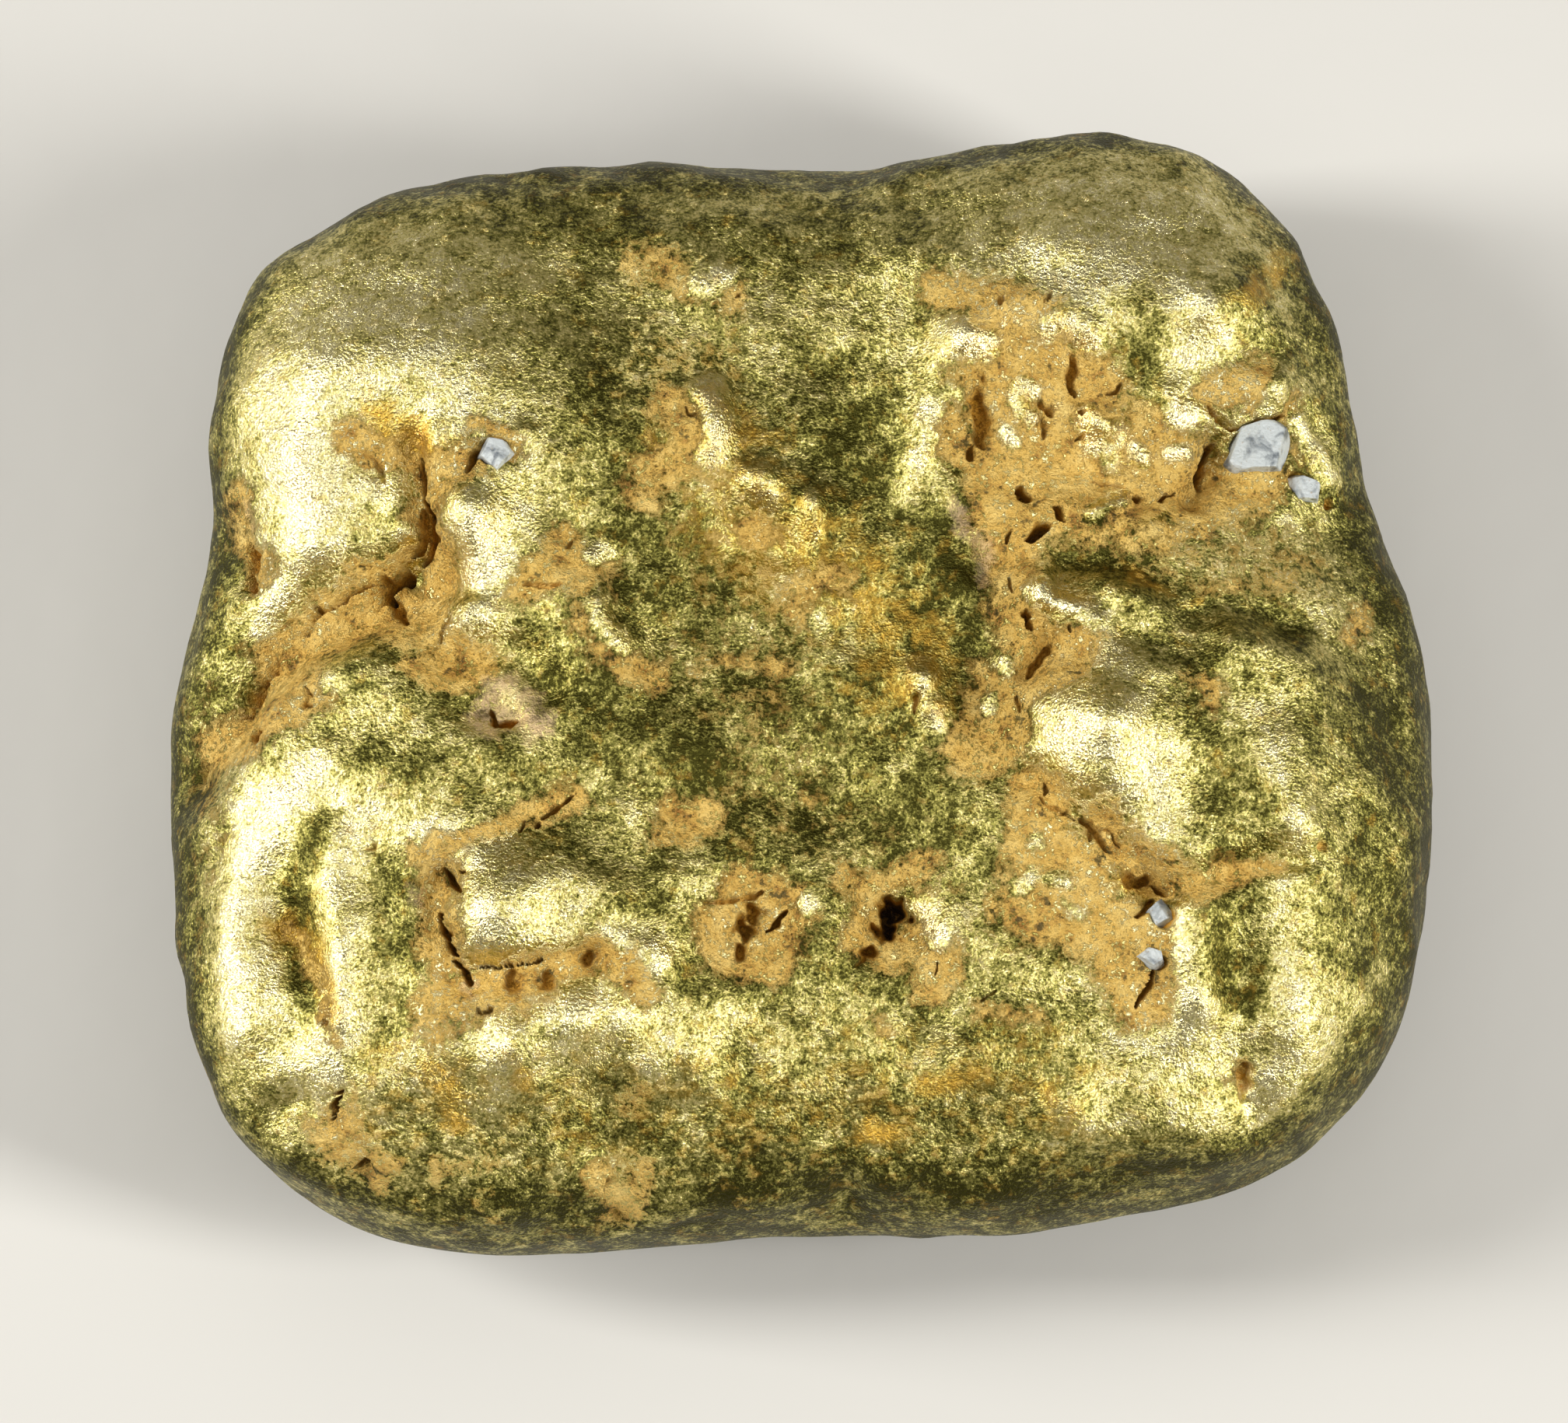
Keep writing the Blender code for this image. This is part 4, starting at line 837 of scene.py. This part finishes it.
def crackGap(points):
    # how far places of the top are from the nearest crack, pit or grain
    x, y, _ = points.T
    lifted = points.copy()
    lifted[:, 2] += upperRelief(x, y)
    seenX, seenY = onPhoto(lifted)
    gap = np.full(x.shape, farAway)
    for _, halfWidth, _, line in nugget["cracks"]:
        gap = np.minimum(gap, lineDistance(seenX, seenY, pixelLine(line)) - halfWidth)
    for _, halfX, halfY, turn, _, middle in nugget["pits"]:
        cx, cy = pixelLine([middle])[0]
        gap = np.minimum(gap, (roundness(seenX, seenY, cx, cy, halfX, halfY, turn) - 1.0) * min(halfX, halfY))
    for cx, cy, halfX, halfY, _, turn, _ in grains["stones"].values():
        edge = (roundness(x, y, cx, cy, halfX, halfY, turn) - grains["socketEdge"]) * min(halfX, halfY)
        gap = np.minimum(gap, np.abs(edge))
    return gap


def isLevel(edge):
    return abs(edge.verts[0].co.z - edge.verts[1].co.z) < nugget["levelWithin"]


def buildBlock():
    # a block cut into squares: its top finer than its sides, and finest round the cracks
    bm = bmesh.new()
    bmesh.ops.create_cube(bm, size=2.0)
    upright = [e for e in bm.edges if not isLevel(e)]
    bmesh.ops.subdivide_edges(bm, edges=upright, cuts=nugget["sideRows"] - 1)
    level = [e for e in bm.edges if isLevel(e)]
    bmesh.ops.subdivide_edges(bm, edges=level, cuts=nugget["topGrid"] - 1, use_grid_fill=True)
    for lowest in (-nugget["blockFace"], nugget["blockFace"]):
        finer = [e for e in bm.edges if min(v.co.z for v in e.verts) > lowest]
        bmesh.ops.subdivide_edges(bm, edges=finer, cuts=1, use_grid_fill=True)
    for reach in nugget["fineReach"]:
        onTop = [f for f in bm.faces if min(v.co.z for v in f.verts) > nugget["blockFace"]]
        gaps = crackGap(pillow(np.array([f.calc_center_median() for f in onTop])))
        finer = {e for f, gap in zip(onTop, gaps) if gap < reach for e in f.edges}
        bmesh.ops.subdivide_edges(bm, edges=list(finer), cuts=1, use_grid_fill=True)
    return bm


def buildNugget(material):
    bm = buildBlock()
    smooth = pillow(np.array([v.co for v in bm.verts]))
    for vert, point in zip(bm.verts, smooth):
        vert.co = point
    bm.normal_update()
    normal = np.array([v.normal for v in bm.verts])
    x, y, z = smooth.T
    upper = smoothStep(*nugget["upperFade"], z - nugget["rimHeight"])
    lower = smoothStep(*nugget["lowerFade"], z - nugget["rimHeight"])

    # the same lobes, folds and dents as the solid part
    shape = upperRelief(x, y)
    proud = smoothStep(*nugget["proudAt"], shape)
    push = upper * shape
    push += lower * relief(x, y, nugget["underside"], nugget["undersideFolds"])
    for rise, more, size, seed in nugget["dents"]:
        push += (rise + more * upper) * hammering(smooth, [(1.0, size, seed)])
    push += lower * hammering(smooth, nugget["undersideDents"])

    # places as the photograph shows them; they wander a little, for ragged cracks and stains
    stray = nugget["stray"]
    seen = np.array(onPhoto(smooth + normal * push[:, None]))
    wander = np.array([hammering(smooth, layers) for layers in nugget["wander"]])
    drift = np.array([hammering(smooth, layers) for layers in nugget["drift"]])
    wobble = hammering(smooth, nugget["wobble"])
    depth, shoulder = crackDepth(*(seen + stray["cracks"] * wander), wobble)
    socket = socketCover(*(np.array([x, y]) + stray["sockets"] * wander))
    stained = seen + stray["stains"] * wander + drift
    cover = {}
    for name in ("clay", "pale", "yellow", "tarnish"):
        cover[name] = upper * painted(*stained, nugget[name])
    # painted shade: steep sides are darkened with the tarnish colour and kept from looking burnished
    steepShade = smoothStep(*nugget["steepAt"], normal[:, 2])
    cover["tarnish"] = np.maximum(cover["tarnish"], nugget["steepShadeStrength"] * steepShade)
    bareAndHighlight = upper * painted(*(seen + wander), nugget["bareAndHighlight"])
    cover["clay"] = np.maximum(cover["clay"] - nugget["bareClears"] * bareAndHighlight, 0.0)
    clay = np.maximum(cover["clay"], cover["pale"])

    # peened and scratched skin, coarser on the clay that fills the hollows
    everywhere, onTop, worn = nugget["skinShare"]
    push += (everywhere + upper * (onTop - worn * proud)) * hammering(smooth, nugget["skin"])
    crumbs = hammering(smooth, nugget["crumbs"]) - nugget["claySinks"]
    push += upper * (np.minimum(clay, 1.0) * crumbs + nugget["bareRises"] * bareAndHighlight)
    push -= upper * (depth + shoulder + ledgeDrop(*(seen + stray["ledges"] * wander)))
    for _, halfX, halfY, turn, rise, middle in nugget["touches"]:
        away = roundness(*(seen + wander), *pixelLine([middle])[0], halfX, halfY, turn)
        push += upper * rise * np.exp(-(away ** 2))
    push -= socket * grains["socketDepth"]
    moved = smooth + normal * push[:, None]
    moved[:, 2] = np.maximum(moved[:, 2], 0.0)  # worn flat where it rests
    for vert, point in zip(bm.verts, moved):
        vert.co = point * mm
    for face in bm.faces:
        face.smooth = True

    # painted shade: slopes that fall away to the back are painted darker and less burnished, whatever else is
    # on them
    bm.normal_update()
    backShade = upper * smoothStep(*nugget["backwardAt"], np.array([v.normal.y for v in bm.verts]))
    cover["tarnish"] = np.maximum(cover["tarnish"], nugget["backShadeStrength"] * backShade)
    # cracks, pits and the sockets of the grains, darker the deeper they go: iron stain, with painted shade
    # deep down and round the grains
    cover["hollow"] = upper * np.maximum(depth / nugget["deepCrack"], nugget["socketShade"] * socket)
    # burnished where the high places are worn, and painted highlights where that table's rows lie
    burnishAndHighlight = np.maximum(upper * (1.0 - steepShade) * proud, nugget["bareAndHighlightShine"] * bareAndHighlight)
    cover["burnishAndHighlight"] = burnishAndHighlight * (1.0 - nugget["backShadeDulling"] * backShade)

    piece = newPiece("nuggetSurface", bm, material)
    for name, values in cover.items():
        layer = piece.data.attributes.new(name, "FLOAT", "POINT")
        layer.data.foreach_set("value", values.astype(np.float32))
    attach(piece, "root")
    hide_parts("gold_nugget")
    triangles = sum(len(p.vertices) - 2 for p in piece.data.polygons)
    print("nugget surface:", triangles, "triangles")


# native gold, worn by stream gravel: pale where burnished and where highlights are painted, olive where
# tarnished and where shade is painted, with ochre clay and brown iron stain in the hollows
goldFinish = {
    # pale burnished gold, also used for painted highlights
    "burnished": "#f8ecb4",
    "plain": "#d8c97c",
    # olive of tarnish, also used for painted shade
    "tarnish": "#8c8642",
    "deepTarnish": "#403d17",
    "clay": "#d2ab52",
    "clayLight": "#e9cb78",
    "clayDark": "#9f6f2a",
    "pale": "#d8b98c",
    "yellow": "#ddae46",
    "crackWall": "#b8841c",
    # brown-black floor of the cracks: iron stain darkened as painted shade
    "crackFloorShade": "#3a2406",
    # patterns: features a mm, detail, roughness
    "blotch": (0.7, 3.0, 0.50),  # broad changes of tone
    "patch": (2.4, 6.0, 0.70),  # ragged patches of tarnish, 0.2 to 0.5 mm wide
    "edge": (4.0, 5.0, 0.70),  # dents of the skin and the ragged edges of the clay
    "fleck": (9.0, 4.0, 0.60),  # single spots of tarnish, about 0.1 mm wide
    "grain": (26.0, 2.0, 0.60),
    "scratch": (2.5, 26.0, 6.0),  # features a mm along, across and into the gold
    "scratchTurn": 0.6,  # radians
    "tarnishedAt": (1.12, 1.66),  # where the patterns' sum is all tarnish, and all burnished
    "relief": 0.000020,  # depth of the skin's relief in metres
    "gloss": 0.25,  # roughness of burnished gold
    "dull": 0.50,  # and of tarnish
    "clayDull": 0.60,
    "clayMetal": 0.40,  # gold dust in the clay gives it some lustre
    "wallMetal": 0.15,  # and in the walls of the cracks
}


def nativeGold():
    finish = goldFinish
    material, shader = newMaterial("nativeGold")
    link = material.node_tree.links.new
    metres = addNode(material, "TexCoord", {}, "Object")
    place = addNode(material, "Mapping", {"Vector": metres, "Scale": perMm})
    wire = {}  # outputs of the nodes, by what they stand for
    for name in ("clay", "pale", "yellow", "tarnish", "hollow", "burnishAndHighlight"):
        wire[name] = addNode(material, "Attribute", {}, "Fac", attribute_name=name)
    for name in ("blotch", "patch", "edge", "fleck", "grain"):
        scale, detail, rough = finish[name]
        inputs = {"Vector": place, "Scale": scale, "Detail": detail, "Roughness": rough}
        wire[name] = addNode(material, "TexNoise", inputs)
    inputs = {"Vector": place, "Rotation": (0.0, 0.0, finish["scratchTurn"]), "Scale": finish["scratch"]}
    brushed = addNode(material, "Mapping", inputs)
    wire["scratch"] = addNode(material, "TexNoise", {"Vector": brushed, "Scale": 1.0, "Detail": 3.0})

    # weighted sums of the patterns and of what is painted on the surface
    sums = {
        "spots": {
            "fleck": 0.75, "blotch": 0.35, "grain": 0.75, "patch": 0.9, "tarnish": -0.2, "burnishAndHighlight": 0.2,
        },
        "stained": {"yellow": 1.0, "edge": 2.6},
        "packed": {"clay": 1.0, "edge": 1.6, "fleck": 1.5, "grain": 0.6},
        "bleached": {"pale": 1.0, "edge": 2.0, "fleck": 1.1},
        "glints": {"fleck": 1.0, "grain": 0.7},
        "soil": {"fleck": 1.0, "patch": 1.3},
        "clayTone": {"patch": 0.6, "edge": 0.4},
        "skin": {"edge": 1.4, "fleck": 1.0, "grain": 1.3, "scratch": 0.25},
        "grit": {"edge": 4.5, "fleck": 4.0, "grain": 2.0},
    }
    for name, parts in sums.items():
        total = 0.0
        for part, share in parts.items():
            total = addNode(material, "Math", {0: wire[part], 1: share, 2: total}, operation="MULTIPLY_ADD")
        wire[name] = total

    # cracks and pits with ragged edges
    inputs = {0: wire["hollow"], 1: wire["glints"]}
    wire["sunken"] = addNode(material, "Math", inputs, operation="MULTIPLY")

    # how far each of them covers the gold: the sum, from and to, cover at each end
    covers = {
        "worn": ("spots", *finish["tarnishedAt"], 0.0, 1.0),
        "yellowCover": ("stained", 1.45, 2.40, 0.0, 0.8),
        "clayCover": ("packed", 2.16, 2.50, 0.0, 1.0),
        "paleCover": ("bleached", 2.00, 2.75, 0.0, 0.7),
        "bareFlecks": ("glints", 0.90, 1.00, 1.0, 0.1),
        "soilCover": ("soil", 0.98, 0.88, 0.0, 0.8),
        "wall": ("sunken", 0.05, 0.36, 0.0, 1.0),
        # dark floor of cracks and pits: brown stain deepening with depth into painted shade
        "floor": ("sunken", 0.50, 1.15, 0.0, 1.0),
    }
    for name, (source, low, high, first, last) in covers.items():
        inputs = {"Value": wire[source], "From Min": low, "From Max": high, "To Min": first, "To Max": last}
        wire[name] = addNode(material, "MapRange", inputs)
    for name in ("clayCover", "paleCover"):
        inputs = {0: wire[name], 1: wire["bareFlecks"]}
        wire[name] = addNode(material, "Math", inputs, operation="MULTIPLY")

    # tarnish lies in flecks and patches, thickest in the low places, with painted shade and painted
    # highlights in the same tones; clay is lighter where dry
    ramps = {
        "gold": ("worn", {0.0: "deepTarnish", 0.32: "tarnish", 0.62: "plain", 1.0: "burnished"}),
        "earth": ("clayTone", {0.36: "clayDark", 0.47: "clay", 0.64: "clayLight"}),
    }
    for name, (source, stops) in ramps.items():
        wire[name] = addNode(material, "ValToRGB", {"Fac": wire[source]})
        ramp = wire[name].node.color_ramp
        for at in list(stops)[1:-1]:
            ramp.elements.new(at)
        for element, at in zip(ramp.elements, stops):
            element.position = at
            element.color = hexColour(finish[stops[at]])

    # golden stain, clay packed into the hollows, iron-brown walls of the cracks, and their floors painted
    # dark as shade that deepens with depth
    # a Mix node has its factor at input 0, its numbers at 2 and 3, its colours at 6 and 7
    soiled = {0: wire["soilCover"], 6: wire["earth"], 7: hexColour(finish["deepTarnish"])}
    wire["earth"] = addNode(material, "Mix", soiled, 2, data_type="RGBA")
    colour = wire["gold"]
    layers = {
        "yellowCover": hexColour(finish["yellow"]),
        "clayCover": wire["earth"],
        "paleCover": hexColour(finish["pale"]),
        "wall": hexColour(finish["crackWall"]),
        "floor": hexColour(finish["crackFloorShade"]),
    }
    for cover, over in layers.items():
        colour = addNode(material, "Mix", {0: wire[cover], 6: colour, 7: over}, 2, data_type="RGBA")
    link(colour, shader.inputs["Base Color"])

    # bare gold is a metal; clay and stain are earth
    earthy = addNode(material, "Math", {0: wire["clayCover"], 1: wire["paleCover"]}, operation="MAXIMUM")
    metal = addNode(material, "Mix", {0: earthy, 2: 1.0, 3: finish["clayMetal"]})
    metal = addNode(material, "Mix", {0: wire["wall"], 2: metal, 3: finish["wallMetal"]})
    link(metal, shader.inputs["Metallic"])
    inputs = {"Value": wire["worn"], "To Min": finish["dull"], "To Max": finish["gloss"]}
    rough = addNode(material, "MapRange", inputs)
    earthy = addNode(material, "Math", {0: earthy, 1: wire["wall"]}, operation="MAXIMUM")
    rough = addNode(material, "Mix", {0: earthy, 2: rough, 3: finish["clayDull"]})
    link(rough, shader.inputs["Roughness"])

    # peened and pitted skin, gritty where there is clay
    height = addNode(material, "Mix", {0: wire["clayCover"], 2: wire["skin"], 3: wire["grit"]})
    bump = addNode(material, "Bump", {"Height": height, "Distance": finish["relief"]})
    link(bump, shader.inputs["Normal"])
    return material


# milky quartz: cloudy, faintly blue, broken along curved faces with a glassy lustre
quartzFinish = {
    "cloud": "#bfc4c2",
    "vein": "#5f666b",
    "stain": "#9a7c50",
    "cloudSize": 4.0,  # cloudy bands a mm
    "cloudTwist": 0.6,
    "veinAt": (0.34, 0.50),  # where the cloud pattern is all vein, and all cloud
    "speckSize": 20.0,  # specks of stain a mm
    "stainAt": (0.62, 0.74),  # where the speck pattern has no stain, and most
    "mostStain": 0.6,
    "gloss": 0.28,
    "dulling": 0.25,  # how much the specks add to that roughness
    "relief": 0.00002,  # metres
    "clear": 0.08,  # share of the light that it lets in
    "refraction": 1.544,
}


def milkyQuartz():
    finish = quartzFinish
    material, shader = newMaterial("milkyQuartz")
    link = material.node_tree.links.new
    metres = addNode(material, "TexCoord", {}, "Object")
    place = addNode(material, "Mapping", {"Vector": metres, "Scale": perMm})
    swirl = {"Vector": place, "Scale": finish["cloudSize"], "Detail": 4.0, "Distortion": finish["cloudTwist"]}
    cloud = addNode(material, "TexNoise", swirl)
    speck = addNode(material, "TexNoise", {"Vector": place, "Scale": finish["speckSize"], "Detail": 3.0})
    low, high = finish["veinAt"]
    banded = addNode(material, "MapRange", {"Value": cloud, "From Min": low, "From Max": high})
    layers = {0: banded, 6: hexColour(finish["vein"]), 7: hexColour(finish["cloud"])}
    colour = addNode(material, "Mix", layers, 2, data_type="RGBA")
    low, high = finish["stainAt"]
    specks = {"Value": speck, "From Min": low, "From Max": high, "To Max": finish["mostStain"]}
    stained = addNode(material, "MapRange", specks)
    layers = {0: stained, 6: colour, 7: hexColour(finish["stain"])}
    colour = addNode(material, "Mix", layers, 2, data_type="RGBA")
    link(colour, shader.inputs["Base Color"])
    shader.inputs["IOR"].default_value = finish["refraction"]
    shader.inputs["Transmission Weight"].default_value = finish["clear"]
    inputs = {0: speck, 1: finish["dulling"], 2: finish["gloss"]}
    rough = addNode(material, "Math", inputs, operation="MULTIPLY_ADD")
    link(rough, shader.inputs["Roughness"])
    bump = addNode(material, "Bump", {"Height": speck, "Distance": finish["relief"]})
    link(bump, shader.inputs["Normal"])
    return material


# quartz grains, in mm
grains = {
    # CAD node, centre, half-widths and half-height, turn, seed
    "stones": {
        "quartz_grain_upper_right": (5.88, 2.84, 0.38, 0.33, 0.32, -10, 3),
        "quartz_chip_upper_right": (6.44, 2.4, 0.26, 0.16, 0.2, -34, 8),
        "quartz_grain_upper_left": (-3.87, 2.54, 0.22, 0.21, 0.22, 0, 12),
        "quartz_grain_lower_right": (4.59, -3.45, 0.15, 0.18, 0.19, 10, 21),
        "quartz_chip_lower_right": (4.49, -4.02, 0.16, 0.11, 0.15, -20, 30),
    },
    "socketDepth": 0.16,
    "socketWall": (0.98, 0.74),  # shares of the half-widths between which a socket's wall falls
    "socketEdge": 0.85,  # and the share that the finer grid follows
    # the rest shapes a ball of radius 1
    "sides": (5, 4),  # flats round it, by its seed
    "firstSide": 0.4,  # bearing of the first, in radians
    "sideTilt": 0.25,
    "endFlats": ((0.25, 0.1, 1.0), (-0.3, -0.2, 1.0), (0.0, 0.0, -1.0)),  # which way the others face
    "uneven": 0.16,  # how far chance turns a flat
    "cutAt": (0.62, 0.08),  # nearest that a flat comes to the middle, and how much that varies
    "weld": 0.02,  # corners closer than this become one
    "sharp": 0.35,  # radians between flats, from which the arris between them is worn
    "arris": 0.035,
    "waves": (0.035, 2.6),  # height of the waves on its faces, and how many a unit
    "fullness": 1.34,  # makes up for what the flats cut off
}


def buildGrain(node, stone, material):
    # an angular grain: a ball with its sides and ends broken flat, its arrises slightly worn
    _, _, halfX, halfY, halfZ, turn, seed = stone
    sides = grains["sides"][seed % 2]
    nearest, further = grains["cutAt"]
    bm = bmesh.new()
    bmesh.ops.create_icosphere(bm, subdivisions=3, radius=1.0)
    random = np.random.default_rng(seed)
    bearings = np.arange(sides) * 2.0 * math.pi / sides + grains["firstSide"]
    ways = [Vector((math.cos(a), math.sin(a), grains["sideTilt"])) for a in bearings]
    ways += [Vector(way) for way in grains["endFlats"]]
    for way in ways:
        way = (way + Vector(random.normal(size=3)) * grains["uneven"]).normalized()
        cutAt = nearest + further * float(random.uniform())
        geom = bm.verts[:] + bm.edges[:] + bm.faces[:]
        made = bmesh.ops.bisect_plane(bm, geom=geom, plane_co=way * cutAt, plane_no=way, clear_outer=True)
        rim = [e for e in made["geom_cut"] if isinstance(e, bmesh.types.BMEdge)]
        bmesh.ops.holes_fill(bm, edges=rim, sides=0)
    bmesh.ops.remove_doubles(bm, verts=bm.verts, dist=grains["weld"])
    bmesh.ops.recalc_face_normals(bm, faces=bm.faces)
    sharp = [e for e in bm.edges if e.is_manifold and e.calc_face_angle() > grains["sharp"]]
    arris = grains["arris"]
    bmesh.ops.bevel(bm, geom=sharp, offset=arris, affect="EDGES", segments=2, profile=0.5, material=-1)
    bmesh.ops.triangulate(bm, faces=bm.faces)
    bmesh.ops.subdivide_edges(bm, edges=bm.edges, cuts=2, use_grid_fill=True)
    height, waves = grains["waves"]
    for vert in bm.verts:
        vert.co *= 1.0 + height * noise.noise(vert.co * waves + Vector((seed, 0.0, 0.0)))
    low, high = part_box(node)
    centre = (low + high) / 2.0
    size = grains["fullness"] * mm
    grow = Matrix.Diagonal((halfX * size, halfY * size, halfZ * size, 1.0))
    bm.transform(Matrix.Translation(centre) @ Matrix.Rotation(math.radians(turn), 4, "Z") @ grow)
    bmesh.ops.recalc_face_normals(bm, faces=bm.faces)
    piece = newPiece("stone_" + node, bm, material)
    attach(piece, "root")
    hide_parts(node)
    print(piece.name + ":", len(piece.data.polygons), "faces")


# pale floor, a narrow light strip on each side and a broad dim light overhead, lengths in metres
studio = {
    "floorSize": 0.6,
    "floorColour": "#cbc8c1",
    "floorDull": 0.85,
    "tooth": 900.0,  # bumps of the floor a metre
    "toothDepth": 0.00001,
    "lights": {  # place, size, power in watts
        "leftLight": ((-0.106, 0.005, 0.070), (0.024, 0.100), 0.180),
        "rightLight": ((0.100, -0.034, 0.070), (0.024, 0.075), 0.160),
        "fillLight": ((0.0, 0.010, 0.160), (0.160, 0.240), 0.102),
    },
    "roomColour": "#f2dfae",
    "roomLight": 0.05,
    "sensor": 36.0,  # width in the camera's own mm
}


def buildFloor():
    bm = bmesh.new()
    bmesh.ops.create_grid(bm, x_segments=1, y_segments=1, size=studio["floorSize"] / 2.0)
    material, shader = newMaterial("matteBoard")
    place = addNode(material, "TexCoord", {}, "Object")
    tooth = addNode(material, "TexNoise", {"Vector": place, "Scale": studio["tooth"], "Detail": 2.0})
    bump = addNode(material, "Bump", {"Height": tooth, "Distance": studio["toothDepth"]})
    material.node_tree.links.new(bump, shader.inputs["Normal"])
    shader.inputs["Base Color"].default_value = hexColour(studio["floorColour"])
    shader.inputs["Roughness"].default_value = studio["floorDull"]
    floor = newPiece("floor", bm, material)
    print("floor laid")


def aimed(name, data, place, way):
    # an object that stands at a place and looks a certain way
    holder = bpy.data.objects.new(name, data)
    holder.location = place
    holder.rotation_euler = way.to_track_quat("-Z", "Y").to_euler()
    bpy.context.scene.collection.objects.link(holder)
    return holder


def buildCamera(target):
    # it stands where the photograph's did
    tilt = math.radians(photo["elevation"])
    back = Vector((0.0, -math.cos(tilt), math.sin(tilt)))
    data = bpy.data.cameras.new("camera")
    data.sensor_width = studio["sensor"]
    data.lens = studio["sensor"] * photo["distance"] * photo["pixelsPerMm"] / photo["width"]
    data.clip_start = mm
    place = target + back * photo["distance"] * mm
    bpy.context.scene.camera = aimed("camera", data, place, -back)
    bpy.context.scene.view_settings.view_transform = "Standard"
    print("camera placed")


def buildLights(target):
    for name, (place, size, power) in studio["lights"].items():
        lamp = bpy.data.lights.new(name, "AREA")
        lamp.shape = "RECTANGLE"
        lamp.size, lamp.size_y = size
        lamp.energy = power
        aimed(name, lamp, Vector(place), target - Vector(place))
    world = bpy.data.worlds.new("room")
    world.use_nodes = True
    room = world.node_tree.nodes["Background"]
    room.inputs["Color"].default_value = hexColour(studio["roomColour"])
    room.inputs["Strength"].default_value = studio["roomLight"]
    bpy.context.scene.world = world
    print("lights:", ", ".join(studio["lights"]))


buildNugget(nativeGold())
quartz = milkyQuartz()
for node, stone in grains["stones"].items():
    buildGrain(node, stone, quartz)
buildFloor()
buildCamera(Vector(photo["lookAt"]) * mm)
buildLights(Vector(photo["lookAt"]) * mm)
